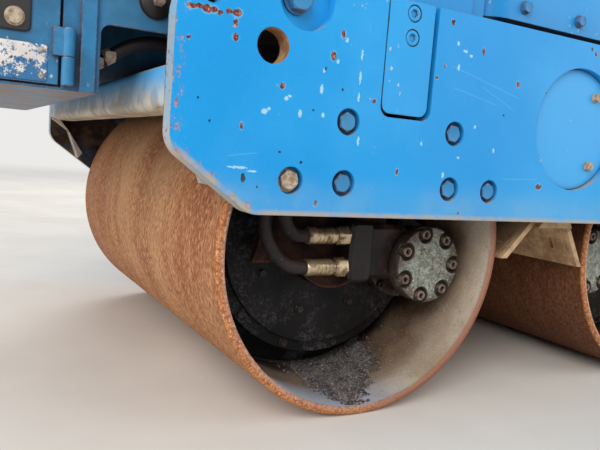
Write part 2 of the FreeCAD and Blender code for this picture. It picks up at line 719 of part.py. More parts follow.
def tube_along(points, diameter, radius=None):
    """A round solid bar that follows the points."""
    wire, radii = bend_path(points, radius)
    ring = Part.Circle(points[0], points[1] - points[0], diameter / 2).toShape()
    solid = Part.Wire([ring])
    swept = Part.BRepOffsetAPI.MakePipeShell(wire)
    swept.setTransitionMode(1)
    swept.add(solid)
    swept.build()
    swept.makeSolid()
    shape = swept.shape()
    wanted = wire.Length * math.pi * diameter ** 2 / 4
    if abs(shape.Volume / wanted - 1) > 0.01:
        raise RuntimeError("a swept tube has the wrong volume")
    return shape, radii


def new_shape(label, shape):
    """A piece that neither sketches nor primitives suit, such as a hose."""
    made = doc.addObject("Part::Feature", label)
    made.Label = label
    made.Shape = shape
    made.setExpression("Placement.Base.x", SHIFT.text)
    pieces.append(made)
    return made


def spot(x, y, z):
    return FreeCAD.Vector(as_size(x).value, as_size(y).value, as_size(z).value)


def both_ends():
    """Front and rear half of the machine: name and direction along X."""
    return (("front", 1), ("rear", -1))


def make_drum(name, end):
    """Rolled shell with a disc and a hub set deep into each open end."""
    body = new_body(f"{name}_drum")
    bore = S("spindle_diameter") / 2 + S("running_play")
    hub = S("hub_diameter") / 2
    lip = S("drum_lip")
    half = [
        (DRUM_HALF, DRUM_R, lip),
        (DRUM_HALF, BORE_R, lip / 2),
        (WEB_OUT, BORE_R),
        (WEB_OUT, hub),
        (HUB_OUT, hub),
        (HUB_OUT, bore),
        (HUB_IN, bore),
        (HUB_IN, hub),
        (WEB_IN, hub),
        (WEB_IN, BORE_R),
    ]
    other = [(-c[0],) + tuple(c[1:]) for c in reversed(half)]
    revolve(body, half + other, across=(AXLE * end, DRUM_R))


def bolt_spots(end):
    """The six carrier bolts round one axle."""
    for along, up in CARRIER_BOLTS:
        for side in (1, -1):
            yield (AXLE + BORE_R * along * side) * end, DRUM_R + BORE_R * up


def make_side_plate(name, side):
    """Thick frame plate past both drums, with its recesses and slots."""
    body = new_body(f"side_plate_{name}")
    reach = PLATE_END
    run = reach - S("plate_cut_run")
    rise = PLATE_LOW + S("plate_cut_rise")
    bend = S("plate_cut_round")
    outline = [
        (reach, rise, bend),
        (reach, PLATE_HIGH, S("plate_crown")),
        (-reach, PLATE_HIGH, S("plate_crown")),
        (-reach, rise, bend),
        (-run, PLATE_LOW, bend),
        (run, PLATE_LOW, bend),
    ]
    outer = PLATE_OUT * side
    inner = PLATE_IN * side
    pad(body, "XZ", outer, inner, [outline])
    deep = (PLATE_OUT - S("recess_depth")) * side
    recesses = [(x, z, S("recess_diameter") / 2) for _, end in both_ends() for x, z in bolt_spots(end)]
    pocket(body, "XZ", outer, deep, recesses)
    corner = S("slot_round")
    half = S("slot_width") / 2
    for _, end in both_ends():
        middle = AXLE * end
        slot = [
            (middle - half, SLOT_LOW, corner),
            (middle + half, SLOT_LOW, corner),
            (middle + half, PLATE_HIGH + corner),
            (middle - half, PLATE_HIGH + corner),
        ]
        pocket(body, "XZ", outer, inner, [slot])
        eyes = [
            (LASHING_PLACE * end, LASHING_HIGH, S("lashing_diameter") / 2),
            (EYE_PLACE * end, EYE_HIGH, S("eye_diameter") / 2),
        ]
        pocket(body, "XZ", outer, inner, eyes)
        floor = (PLATE_OUT - S("pocket_depth")) * side
        large = [(POCKET_PLACE * end, POCKET_HIGH, S("pocket_diameter") / 2)]
        pocket(body, "XZ", outer, floor, large)
    floor = (PLATE_OUT - S("exciter_recess_depth")) * side
    pocket(body, "XZ", outer, floor, [(ZERO, EXCITER_HIGH, S("exciter_recess") / 2)])
    pocket(body, "XZ", outer, inner, [(ZERO, EXCITER_HIGH, S("exciter_bore") / 2)])


def make_slot_covers():
    """Flush covers of the hose slots, two in each side plate."""
    body = new_body("slot_covers")
    half = S("cover_width") / 2
    corner = S("slot_round") - S("slot_width") / 2 + half + S("cover_offset")
    for side in (1, -1):
        outer = PLATE_OUT * side
        inner = (PLATE_OUT - S("cover_thick")) * side
        floor = (PLATE_OUT - S("cover_screw_depth")) * side
        for _, end in both_ends():
            middle = (AXLE + S("cover_offset")) * end
            outline = [
                (middle - half, COVER_LOW, corner),
                (middle + half, COVER_LOW, corner),
                (middle + half, PLATE_HIGH),
                (middle - half, PLATE_HIGH),
            ]
            pad(body, "XZ", outer, inner, [outline])
            screws = [(AXLE * end, PLATE_HIGH - S(z), S("cover_screw") / 2)
                      for z in ("cover_screw_low", "cover_screw_high")]
            pocket(body, "XZ", outer, floor, screws)


def make_exciter():
    """Vibrator shaft housing across the middle, and its two round covers."""
    body = new_body("exciter_housing")
    end = PLATE_OUT - S("exciter_recess_depth") - S("seat_gap")
    spigot = S("exciter_bore") / 2 - S("seat_gap")
    flange = S("exciter_flange") / 2
    tube = S("exciter_tube") / 2
    swell = S("exciter_drum") / 2
    inner = PLATE_IN - S("exciter_flange_thick")
    half = [
        (end, spigot),
        (PLATE_IN, spigot),
        (PLATE_IN, flange),
        (inner, flange),
        (inner, tube),
        (S("exciter_drum_half") + S("exciter_taper"), tube),
        (S("exciter_drum_half"), swell),
    ]
    other = [(-c[0], c[1]) for c in reversed(half)]
    outline = [(end, ZERO)] + half + other + [(-end, ZERO)]
    revolve(body, outline, across=(ZERO, EXCITER_HIGH))
    covers = new_body("exciter_covers")
    radius = S("exciter_recess") / 2 - S("exciter_cover_play")
    for side in (1, -1):
        seat = (PLATE_OUT - S("exciter_recess_depth")) * side
        face = (PLATE_OUT - S("exciter_recess_depth") + S("exciter_cover_thick")) * side
        pad(covers, "XZ", seat, face, [(ZERO, EXCITER_HIGH, radius)])


def make_crossbeams():
    """Square tubes that join the two side plates at both ends."""
    for name, end in both_ends():
        body = new_body(f"{name}_crossbeam")
        wall = S("beam_wall")
        low, high = ordered(BEAM_IN * end, PLATE_END * end)
        outer = box(low, high, BEAM_LOW, BEAM_HIGH, S("beam_round"))
        inner = box(low + wall, high - wall, BEAM_LOW + wall, BEAM_HIGH - wall,
                    S("beam_round") - wall)
        pad(body, "XZ", PLATE_IN, -PLATE_IN, [outer])
        pocket(body, "XZ", PLATE_IN, -PLATE_IN, [inner])


def make_deck():
    """Deck plate over the drums, with folded ends and the slot covers' lugs."""
    body = new_body("deck")
    reach = DECK_END
    pad(body, "XY", DECK_LOW, DECK_TOP, [box(-reach, reach, -PLATE_IN, PLATE_IN)])
    lug = S("lug_width") / 2
    for _, end in both_ends():
        fold = ordered(reach * end, (reach - S("deck_thick")) * end)
        pad(body, "XY", DECK_LOW - S("deck_lip"), DECK_LOW, [box(*fold, -PLATE_IN, PLATE_IN)])
        for side in (1, -1):
            across = ordered((PLATE_IN - S("lug_back")) * side, (PLATE_OUT - S("cover_thick")) * side)
            top = PLATE_HIGH - S("lug_drop")
            middle = AXLE * end
            pad(body, "XY", DECK_TOP, top, [box(middle - lug, middle + lug, *across)])
            passage = S("hose_diameter") / 2 + S("hose_notch") / 2
            edge = ordered((HOSE_PLANE - passage) * side, PLATE_OUT * side)
            notches = []
            for lean in (1, -1):
                hose = middle + S("hose_spread") * lean
                notches.append(box(hose - passage, hose + passage, *edge))
            pocket(body, "XY", DECK_LOW, DECK_TOP, notches)


def make_carrier(name, end, side, driven):
    """What holds a drum's end: arm, six spacers, boss, case and spindle."""
    kind = "drive" if driven else "idle"
    body = new_body(f"{kind}_carrier_{name}")
    axle = AXLE * end
    inner = ARM_IN * side
    outer = ARM_OUT * side
    outline = [((AXLE + BORE_R * along) * end, DRUM_R + BORE_R * up) for along, up in ARM_OUTLINE]
    back = (AXLE - MOTOR_BACK + S("motor_body") / 2 + S("arm_gap")) * end
    outline += [(back, DRUM_R + BORE_R * ARM_SHOULDER), (back, DRUM_R + BORE_R * ARM_FOOT)]
    pad(body, "XZ", inner, outer, [outline])
    spacers = [(x, z, S("spacer_diameter") / 2) for x, z in bolt_spots(end)]
    pad(body, "XZ", outer, PLATE_IN * side, spacers)
    case_in = CASE_IN * side
    case_out = CASE_OUT * side
    pad(body, "XZ", case_in, inner, [(axle, DRUM_R, BOSS_R)])
    if driven:
        pad(body, "XZ", case_in, case_out, [(axle, DRUM_R, CASE_R)])
        ring = (CASE_OUT + S("case_step")) * side
        pad(body, "XZ", case_out, ring, [(axle, DRUM_R, CASE_R - S("case_rim"))])
        motor = (AXLE - MOTOR_BACK) * end
        pad(body, "XZ", case_in, MOTOR_SEAT * side, [(motor, MOTOR_Z, S("motor_pad") / 2)])
    tip = (HUB_IN + S("spindle_end_gap")) * side
    pad(body, "XZ", tip, case_in, [(axle, DRUM_R, S("spindle_diameter") / 2)])


def make_motor(name, end):
    """Hydraulic travel motor with a scalloped end cover and its port block."""
    body = new_body(f"drive_motor_{name}")
    motor = (AXLE - MOTOR_BACK) * end
    seat = MOTOR_SEAT
    flange_out = seat + S("motor_flange_thick")
    outline = [
        (seat, ZERO),
        (seat, S("motor_pad") / 2),
        (flange_out, S("motor_pad") / 2),
        (flange_out, S("motor_body") / 2),
        (MOTOR_BACK_END, S("motor_body") / 2),
        (MOTOR_BACK_END, S("motor_cover") / 2),
        (MOTOR_FACE, S("motor_cover") / 2, S("drum_lip") / 2),
        (MOTOR_FACE, ZERO),
    ]
    revolve(body, outline, across=(motor, MOTOR_Z))
    count = int(S("motor_bolts").value)
    floor = MOTOR_FACE - S("scallop_depth")
    for i in range(count):
        turn = 2 * math.pi * (i + 0.5) / count
        u = S("scallop_pitch") / 2 * math.sin(turn)
        v = S("scallop_pitch") / 2 * math.cos(turn)
        pocket(body, "XZ", MOTOR_FACE, floor, [(u, v, S("scallop_diameter") / 2)], (motor, MOTOR_Z))
    block = ordered(motor, PORT_FACE * end)
    low = PORT_MIDDLE - S("port_thick") / 2
    high = PORT_MIDDLE + S("port_thick") / 2
    pad(body, "XZ", low, high, [box(*block, PORT_LOW, PORT_HIGH)])
    fittings = new_body(f"hose_fittings_{name}")
    for height in (DRUM_R - S("port_lower_hose"), DRUM_R + S("port_upper_hose")):
        face = PORT_FACE
        fitting = [
            (face, ZERO),
            (face, S("nut_across") / 2),
            (face + S("nut_long"), S("nut_across") / 2),
            (face + S("nut_long"), S("ferrule_neck") / 2),
            (face + S("ferrule_start"), S("ferrule_neck") / 2),
            (face + S("ferrule_start"), S("ferrule_diameter") / 2),
            (face + S("ferrule_end"), S("ferrule_diameter") / 2),
            (face + S("ferrule_end"), ZERO),
        ]
        turned = [(c[0] * end, c[1]) for c in fitting]
        revolve(fittings, turned, along=(PORT_MIDDLE, height))


def make_hoses(name, end):
    """Two hoses from the motor up through the plate slot to the manifold."""
    solids = []
    table = (
        ("upper", DRUM_R + S("port_upper_hose"), UPPER_ROUTE, 1),
        ("lower", DRUM_R - S("port_lower_hose"), LOWER_ROUTE, -1),
    )
    start = PORT_FACE + S("ferrule_end")
    for place, height, route, lean in table:
        in_slot = AXLE + S("hose_spread") * lean
        points = [spot(start * end, PORT_MIDDLE, height)]
        points += [spot((AXLE + along) * end, HOSE_PLANE - inset, DRUM_R + up) for along, inset, up in route]
        window = SLOT_LOW + S("hose_window")
        points += [
            spot(in_slot * end, HOSE_PLANE, window),
            spot(in_slot * end, HOSE_PLANE + S("seat_gap"), (window + HOSE_TURN) / 2),
            spot(in_slot * end, HOSE_PLANE, HOSE_TURN),
            spot(in_slot * end, MANIFOLD_OUT, HOSE_TURN),
        ]
        shape, radii = tube_along(points, S("hose_diameter").value)
        print(f"{name} {place} hose: length {shape.Volume / (math.pi * S('hose_diameter').value ** 2 / 4):.0f}",
              "radii", " ".join(f"{r:.0f}" for r in radii))
        solids.append(shape)
    new_shape(f"motor_hoses_{name}", Part.makeCompound(solids))


def make_manifolds():
    """Blocks on the deck that the hoses end in."""
    body = new_body("hose_manifolds")
    half = S("manifold_long") / 2
    across = (MANIFOLD_OUT - S("manifold_deep"), MANIFOLD_OUT)
    for _, end in both_ends():
        middle = AXLE * end
        pad(body, "XY", DECK_TOP, DECK_TOP + S("manifold_tall"), [box(middle - half, middle + half, *across)])


def make_scrapers():
    """Carrier between the drums and the two blades on its slanted edges."""
    carrier = new_body("scraper_carrier")
    blades = new_body("scraper_blades")
    edge = AXLE - DRUM_R - S("scraper_gap")
    thick = S("scraper_blade")
    top = S("scraper_top_half")
    low = SCRAPER_LOW
    waist = SCRAPER_WAIST
    outline = [
        (top, SCRAPER_TOP),
        (-top, SCRAPER_TOP),
        (-top, waist),
        (thick - edge, low),
        (edge - thick, low),
        (top, waist),
    ]
    for side in (1, -1):
        pad(carrier, "XZ", PLATE_IN * side, (PLATE_IN - S("scraper_plate")) * side, [outline])
        slots = [(S("scraper_slot_out") * i, (low + waist) / 2, S("scraper_slot") / 2) for i in (1, -1)]
        pocket(carrier, "XZ", PLATE_IN * side, (PLATE_IN - S("scraper_plate")) * side, slots)
    inner = PLATE_IN - S("scraper_plate")
    beam = box(-top, top, SCRAPER_TOP - S("scraper_beam_tall"), SCRAPER_TOP)
    pad(carrier, "XZ", inner, -inner, [beam])
    for end in (1, -1):
        blade = [
            (top * end, waist),
            ((top + thick) * end, waist),
            (edge * end, low),
            ((edge - thick) * end, low),
        ]
        pad(blades, "XZ", PLATE_IN, -PLATE_IN, [blade])


def make_sprinklers():
    """Water pipe over each drum, held by saddles under the deck."""
    body = new_body("sprinkler_pipes")
    radius = S("sprinkler_diameter") / 2
    half = SPRINKLER_HALF
    width = S("saddle_width") / 2
    for _, end in both_ends():
        middle = AXLE * end
        pad(body, "XZ", half, -half, [(middle, SPRINKLER_HIGH, radius)])
        for place in (1, 0, -1):
            across = (half - width * 2) * place
            saddle = box(middle - radius / 2, middle + radius / 2, across - width, across + width)
            pad(body, "XY", SPRINKLER_HIGH, DECK_LOW, [saddle])


def make_rails_and_engine():
    """Rails on the deck that carry tank, hood and the plain engine block."""
    body = new_body("base_rails")
    half = S("rail_width") / 2
    table = (
        (TANK_REAR, TANK_FRONT, "rail_front_tall"),
        (HOOD_REAR, HOOD_FRONT, "rail_rear_tall"),
    )
    for rear, front, tall in table:
        for side in (1, -1):
            middle = RAIL_PLACE * side
            pad(body, "XY", DECK_TOP, DECK_TOP + S(tall), [box(rear, front, middle - half, middle + half)])
    engine = new_body("engine_block")
    along = (ENGINE_PLACE - S("engine_long") / 2, ENGINE_PLACE + S("engine_long") / 2)
    wide = S("engine_wide") / 2
    pad(engine, "XY", DECK_TOP, DECK_TOP + S("engine_tall"), [box(*along, -wide, wide, S("tank_round"))])


def make_hinge_frame():
    """Arch between tank and hood that carries the lid's hinges."""
    body = new_body("hinge_frame")
    outer = POST_OUT
    inner = outer - S("post_wide")
    along = (S("post_rear"), S("post_front"))
    under = POST_HIGH - S("post_bar")
    for side in (1, -1):
        across = ordered(outer * side, inner * side)
        pad(body, "XY", DECK_TOP, under, [box(*along, *across)])
    pad(body, "XY", under, POST_HIGH, [box(*along, -outer, outer)])
    add_lid_hinge(body, carrier=True)


def hinge_spans(start, length, play):
    """A hinge's carrier barrel and, next to it, its leaf barrel."""
    return (start, start + length), (start + length + play, start + length * 2 + play)


def add_lid_hinge(body, carrier):
    place, high = LID_HINGE, LID_HINGE_HIGH
    radius = S("hinge_diameter") / 2
    pin = S("hinge_pin") / 2
    fixed, moving = hinge_spans(S("lid_hinge_out"), S("hinge_long"), S("hinge_play"))
    for side in (1, -1):
        if carrier:
            foot = box(place - radius, place + radius, POST_HIGH - S("post_bar") / 2, high)
            pad(body, "XZ", fixed[0] * side, fixed[1] * side, [foot])
            pad(body, "XZ", fixed[0] * side, fixed[1] * side, [(place, high, radius)])
            pad(body, "XZ", fixed[1] * side, moving[1] * side, [(place, high, pin)])
        else:
            ear = box(HOOD_FRONT - S("hood_wall"), place, high, high + radius)
            pad(body, "XZ", moving[0] * side, moving[1] * side, [ear])
            pad(body, "XZ", moving[0] * side, moving[1] * side, [(place, high, radius)])
            bore = (place, high, pin + S("running_play"))
            pocket(body, "XZ", moving[0] * side, moving[1] * side, [bore])


def make_tank():
    """Water tank in front of the hinge frame, with a sloping brow."""
    body = new_body("water_tank")
    front = TANK_FRONT
    bend = S("tank_round")
    outline = [
        (TANK_REAR, TANK_LOW),
        (front, TANK_LOW),
        (front, TANK_BROW, bend),
        (front - S("tank_slope"), TANK_HIGH, bend),
        (TANK_REAR, TANK_HIGH),
    ]
    half = TANK_HALF
    pad(body, "XZ", half, -half, [outline])
    top = TANK_HIGH
    round_edges(body, bend, lambda edge: at_height(edge, top) and abs(edge.Vertexes[0].Y) > half.value - 1
                and abs(edge.Vertexes[-1].Y - edge.Vertexes[0].Y) < 1)
    neck = (NECK_PLACE, ZERO, S("neck_diameter") / 2)
    pad(body, "XY", top, top + S("neck_tall"), [neck])
    cap = new_body("tank_cap")
    radius = S("cap_diameter") / 2
    low = top + S("neck_tall")
    stand(cap, NECK_PLACE, ZERO, [
        (ZERO, low),
        (radius, low),
        (radius, low + S("cap_tall"), S("drum_lip")),
        (ZERO, low + S("cap_tall")),
    ])


def make_hood():
    """Engine hood: four walls with cooling slots."""
    body = new_body("hood_shell")
    wall = S("hood_wall")
    bend = S("hood_round")
    half = HOOD_HALF
    rear = HOOD_REAR
    pad(body, "XY", HOOD_LOW, HOOD_HIGH, [box(rear, HOOD_FRONT, -half, half, bend)])
    inner = box(rear + wall, HOOD_FRONT - wall, wall - half, half - wall, bend - wall)
    pocket(body, "XY", HOOD_LOW, HOOD_HIGH, [inner])
    rail = S("rail_width") / 2
    for side in (1, -1):
        middle = RAIL_PLACE * side
        seat = box(rear + bend, HOOD_FRONT - bend, *ordered(middle - rail, half * side - wall * side / 2))
        pad(body, "XY", HOOD_LOW, HOOD_LOW + wall, [seat])
    long = S("louvre_long") / 2
    tall = S("louvre_tall") / 2
    slots = []
    for i in range(int(S("louvre_count").value)):
        level = LOUVRE_LOW + S("louvre_step") * i
        slots.append(box(LOUVRE_PLACE - long, LOUVRE_PLACE + long, level - tall, level + tall, tall * ROUND_SHARE))
    pocket(body, "XZ", half, -half, slots)


def make_lid():
    """Pan-shaped hood lid, hinged at its front edge."""
    body = new_body("hood_lid")
    wall = S("hood_wall")
    bend = S("hood_round")
    half = HOOD_HALF
    rear = HOOD_REAR
    top = LID_LOW + S("lid_tall")
    pad(body, "XY", LID_LOW, top, [box(rear, HOOD_FRONT, -half, half, bend)])
    round_edges(body, S("lid_round"), lambda edge: at_height(edge, top))
    hollow(body, wall, lambda face: at_height(face, LID_LOW))
    add_lid_hinge(body, carrier=False)


def make_nose():
    """Sheet box in front of the plates, with its side openings and post."""
    body = new_body("nose_box")
    wall = S("nose_wall")
    bend = S("nose_round")
    front, rear, half = NOSE_FRONT, NOSE_REAR, NOSE_HALF
    low, high = NOSE_LOW, NOSE_HIGH
    corner = S("notch_round")
    outline = [
        (rear, BEAM_HIGH),
        (NOTCH_REAR, BEAM_HIGH),
        (NOTCH_REAR, NOTCH_HIGH, corner),
        (NOTCH_FRONT, NOTCH_HIGH, corner),
        (NOTCH_FRONT, low),
        (front, low),
        (front, NOSE_BROW, bend),
        (front - S("nose_slope"), high, bend),
        (rear, high),
    ]
    pad(body, "XZ", half, -half, [outline])
    inside = [
        (rear + wall, low - wall),
        (NOTCH_FRONT, low - wall),
        (NOTCH_FRONT, low + wall),
        (front - wall, low + wall),
        (front - wall, NOSE_BROW - wall / 2, bend - wall),
        (front - S("nose_slope") - wall / 2, high - wall, bend - wall),
        (rear + wall, high - wall),
    ]
    pocket(body, "XZ", half - wall, wall - half, [inside])
    gap = S("door_gap")
    doorway = box(DOOR_START - gap, DOOR_END + gap, DOOR_LOW - gap / 2, DOOR_HIGH + gap)
    pocket(body, "XZ", half, half - wall, [doorway])
    for side in (1, -1):
        strip = box(STRIP_START, STRIP_END, *ordered(half * side, (half + S("strip_proud")) * side))
        pad(body, "XY", low, high - bend, [strip])
    add_door_hinge(body, carrier=True)


def door_hinge_line():
    return DOOR_HINGE, NOSE_HALF + S("door_hinge_diameter") / 2


def add_door_hinge(body, carrier):
    """Two upright hinges at the nose door's rear edge."""
    place, out = door_hinge_line()
    radius = S("door_hinge_diameter") / 2
    pin = radius / 2
    for start in (DOOR_LOW, DOOR_HIGH - S("hinge_long") * 2 - S("hinge_play")):
        fixed, moving = hinge_spans(start, S("hinge_long"), S("hinge_play"))
        if carrier:
            foot = box(place - radius, place + radius / 2, NOSE_HALF - S("nose_wall") / 2, out)
            pad(body, "XY", *fixed, [foot])
            pad(body, "XY", *fixed, [(place, out, radius)])
            pad(body, "XY", fixed[1], moving[1], [(place, out, pin)])
        else:
            face = NOSE_HALF + S("door_proud")
            ear = box(place, DOOR_START + radius, out - radius / 2, out + radius / 2)
            pad(body, "XY", *moving, [ear])
            seat = box(DOOR_START, DOOR_START + radius, face - S("door_wall"), out + radius / 2)
            pad(body, "XY", *moving, [seat])
            pad(body, "XY", *moving, [(place, out, radius)])
            pocket(body, "XY", *moving, [(place, out, pin + S("running_play"))])


def make_door():
    """Nose door: a pressed pan with its folded edges, and its latch plate."""
    body = new_body("nose_door")
    face = NOSE_HALF + S("door_proud")
    back = face - S("door_depth")
    outer = box(DOOR_START, DOOR_END, DOOR_LOW, DOOR_HIGH)
    wall = S("door_wall")
    inner = box(DOOR_START + wall, DOOR_END - wall, DOOR_LOW + wall, DOOR_HIGH - wall)
    pad(body, "XZ", face, back, [outer])
    pocket(body, "XZ", face - wall, back, [inner])
    add_door_hinge(body, carrier=False)
    latch = new_body("door_latch")
    outline = box(LATCH_START, LATCH_END, LATCH_LOW, LATCH_HIGH, S("drum_lip") / 2)
    pad(latch, "XZ", face, face + S("latch_proud"), [outline])


def make_nose_pipe():
    """Pipe that crosses the opening behind the nose post."""
    y = NOSE_HALF - S("pipe_inset")
    high = BEAM_HIGH + S("pipe_lift")
    rear = NOSE_REAR + S("nose_wall")
    points = [
        spot(rear, y, high),
        spot(rear + S("pipe_level"), y, high),
        spot(NOTCH_FRONT + S("pipe_diameter"), y - S("pipe_diameter"), NOSE_LOW + S("pipe_foot")),
    ]
    shape, _ = tube_along(points, S("pipe_diameter").value)
    new_shape("nose_pipe", shape)


def make_exhaust():
    """Flanged pipe that leaves the hood's rear wall and turns down."""
    out = HOOD_REAR - S("exhaust_flange_thick")
    y, z = S("exhaust_place"), EXHAUST_HIGH
    points = [
        spot(out, y, z),
        spot(HOOD_REAR - S("exhaust_out"), y, z),
        spot(HOOD_REAR - S("exhaust_out"), y, z - S("exhaust_drop")),
    ]
    pipe, _ = tube_along(points, S("exhaust_diameter").value, S("exhaust_bend").value)
    flange = Part.makeCylinder(S("exhaust_flange").value / 2, S("exhaust_flange_thick").value,
                               points[0], FreeCAD.Vector(1, 0, 0))
    new_shape("exhaust_pipe", pipe.fuse(flange).removeSplitter())


def make_hitch():
    """Bracket, pin and rubber buffers of the drawbar, on the rear crossbeam."""
    body = new_body("drawbar_bracket")
    inner = S("hitch_inner")
    outer = inner + S("hitch_lug")
    rear = -PLATE_END
    back = rear - S("hitch_plate")
    pad(body, "XY", BEAM_LOW, BEAM_HIGH, [box(back, rear, -outer, outer)])
    pivot = (HITCH_PLACE, HITCH_HIGH)
    bore = S("hitch_pin") / 2 + S("running_play")
    round_lug = S("hitch_round")
    lug = [
        (back, BEAM_LOW),
        (pivot[0] - round_lug, pivot[1] - round_lug),
        (pivot[0] - round_lug, pivot[1] + round_lug, round_lug * ROUND_SHARE),
        (back, pivot[1] + round_lug),
    ]
    for side in (1, -1):
        pad(body, "XZ", inner * side, outer * side, [lug])
        pocket(body, "XZ", inner * side, outer * side, [(*pivot, bore)])
    pin = new_body("drawbar_pin")
    reach = outer + S("pin_head")
    pad(pin, "XZ", reach, -reach, [(*pivot, S("hitch_pin") / 2)])
    buffers = new_body("drawbar_buffers")
    half = S("buffer_wide") / 2
    for side in (1, -1):
        middle = S("arm_place") * side
        outline = box(back - S("buffer_out"), back, middle - half, middle + half)
        pad(buffers, "XY", BUFFER_LOW, BUFFER_LOW + S("buffer_tall"), [outline])


def make_drawbar():
    """Two bent arms from the pivot tube to the grip bar, and the rubber grips."""
    x, z = HITCH_PLACE.value, HITCH_HIGH.value
    across = FreeCAD.Vector(0, 1, 0)
    half = (S("hitch_inner") - S("hinge_play")).value
    shape = Part.makeCylinder(S("pivot_tube").value / 2, half * 2, FreeCAD.Vector(x, -half, z), across)
    grip = S("grip_half").value
    bar = FreeCAD.Vector(GRIP_PLACE.value, -grip, S("arm_knee_high").value)
    shape = shape.fuse(Part.makeCylinder(GRIP_R.value, grip * 2, bar, across))
    for side in (1, -1):
        y = S("arm_place") * side
        points = [
            spot(HITCH_PLACE, y, HITCH_HIGH),
            spot(KNEE_PLACE, y, S("arm_knee_high")),
            spot(GRIP_PLACE, y, S("arm_knee_high")),
        ]
        arm, _ = tube_along(points, S("arm_tube").value, S("arm_bend").value)
        shape = shape.fuse(arm)
        stop = -PLATE_END - S("hitch_plate") - S("buffer_out") - S("seat_gap")
        heel = Part.makeBox(S("heel_thick").value, S("buffer_wide").value, (HITCH_HIGH - BUFFER_LOW).value,
                            spot(stop - S("heel_thick"), y - S("buffer_wide") / 2, BUFFER_LOW))
        shape = shape.fuse(heel)
    bore = Part.makeCylinder(S("hitch_pin").value / 2 + S("running_play").value, half * 4,
                             FreeCAD.Vector(x, -half * 2, z), across)
    new_shape("drawbar_frame", shape.cut(bore).removeSplitter())
    grips = new_body("rubber_grips")
    bore_r = GRIP_R + S("rubber_play")
    for side in (1, -1):
        start = (S("grip_half") - S("rubber_long")) * side
        end = S("grip_half") * side
        revolve(grips, [
            (start, bore_r),
            (end, bore_r),
            (end, GRIP_R + S("rubber_wall")),
            (start, GRIP_R + S("rubber_wall")),
        ], across=(GRIP_PLACE, S("arm_knee_high")))


def make_console():
    """Control console on the arms, with its two levers."""
    body = new_body("control_console")
    low = S("arm_knee_high") + S("arm_tube") / 2 + S("seat_gap")
    front, rear = CONSOLE_FRONT, CONSOLE_REAR
    bend = S("console_round")
    outline = [
        (rear, low),
        (front, low),
        (front, low + S("console_tall"), bend),
        (rear, low + S("console_rear_tall"), bend),
    ]
    half = S("console_half")
    pad(body, "XZ", half, -half, [outline])
    levers = new_body("control_levers")
    rise = (S("console_tall") - S("console_rear_tall")) / (front - rear)
    top = low + S("console_rear_tall") + (LEVER_PLACE - rear) * rise
    stem = S("lever_diameter") / 2
    knob = S("knob_diameter") / 2
    for side in (1, -1):
        tall = S("lever_tall") if side > 0 else S("short_lever_tall")
        start = top + stem * rise + S("seat_gap")
        stand(levers, LEVER_PLACE, S("lever_out") * side, [
            (ZERO, start),
            (stem, start),
            (stem, start + tall),
            (knob, start + tall, stem),
            (knob, start + tall + knob * 2, stem),
            (ZERO, start + tall + knob * 2),
        ])


for end_name, direction in both_ends():
    make_drum(end_name, direction)
    make_carrier(end_name, direction, 1, driven=True)
    make_carrier(end_name, direction, -1, driven=False)
    make_motor(end_name, direction)
    make_hoses(end_name, direction)
make_side_plate("left", 1)
make_side_plate("right", -1)
make_slot_covers()
make_exciter()
make_crossbeams()
make_deck()
make_manifolds()
make_scrapers()
make_sprinklers()
make_rails_and_engine()
make_hinge_frame()
make_tank()
make_hood()
make_lid()
make_nose()
make_door()
make_nose_pipe()
make_exhaust()
make_hitch()
make_drawbar()
make_console()
doc.recompute()

for item in doc.Objects:
    if "Invalid" in item.State or "Error" in item.State:
        raise RuntimeError(f"{item.Label} failed: {item.State}")
for piece in pieces:
    if piece.Shape.isNull() or not piece.Shape.isValid():
        raise RuntimeError(f"{piece.Label} has no valid shape")

os.makedirs("parts", exist_ok=True)
for piece in pieces:
    piece.Shape.exportStep(f"parts/{piece.Label}.step")
    size = piece.Shape.BoundBox
    print(f"{piece.Label:22} {len(piece.Shape.Solids)} solids",
          f"x {size.XMin:.1f} {size.XMax:.1f} y {size.YMin:.1f} {size.YMax:.1f} z {size.ZMin:.1f} {size.ZMax:.1f}")
print(f"shift {SHIFT.value:.2f}")
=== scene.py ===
import math
import random
from functools import partialmethod

import bpy
from mathutils import Matrix, Vector


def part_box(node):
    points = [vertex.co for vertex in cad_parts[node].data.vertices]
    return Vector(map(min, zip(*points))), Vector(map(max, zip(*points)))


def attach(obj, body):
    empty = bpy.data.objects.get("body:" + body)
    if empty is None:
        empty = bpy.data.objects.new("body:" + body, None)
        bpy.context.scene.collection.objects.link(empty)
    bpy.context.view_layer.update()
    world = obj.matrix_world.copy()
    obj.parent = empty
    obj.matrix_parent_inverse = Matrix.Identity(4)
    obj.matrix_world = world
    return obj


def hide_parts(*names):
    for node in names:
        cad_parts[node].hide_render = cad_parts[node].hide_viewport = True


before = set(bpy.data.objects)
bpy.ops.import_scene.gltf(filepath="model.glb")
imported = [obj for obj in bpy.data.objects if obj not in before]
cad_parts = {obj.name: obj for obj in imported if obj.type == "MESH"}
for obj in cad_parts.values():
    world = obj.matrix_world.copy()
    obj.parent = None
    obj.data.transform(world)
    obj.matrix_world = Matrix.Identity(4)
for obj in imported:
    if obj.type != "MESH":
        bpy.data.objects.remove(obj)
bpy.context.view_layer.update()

# The frame has +X to the machine's front, +Y to its left and +Z up.
# Places and sizes are millimetres; node trees get them in metres.
MM = 0.001
UP = Vector((0, 0, 1))
LEFT = Vector((0, 1, 0))


def box(name):
    """A CAD node's box in millimetres."""
    low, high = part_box(name)
    return low / MM, high / MM


def middle(name):
    low, high = box(name)
    return (low + high) / 2


def linear(red, green, blue):
    """An sRGB colour of 0 to 255 as linear numbers."""
    shares = (red / 255, green / 255, blue / 255)
    return tuple(s / 12.92 if s <= 0.04045 else ((s + 0.055) / 1.055) ** 2.4 for s in shares) + (1,)


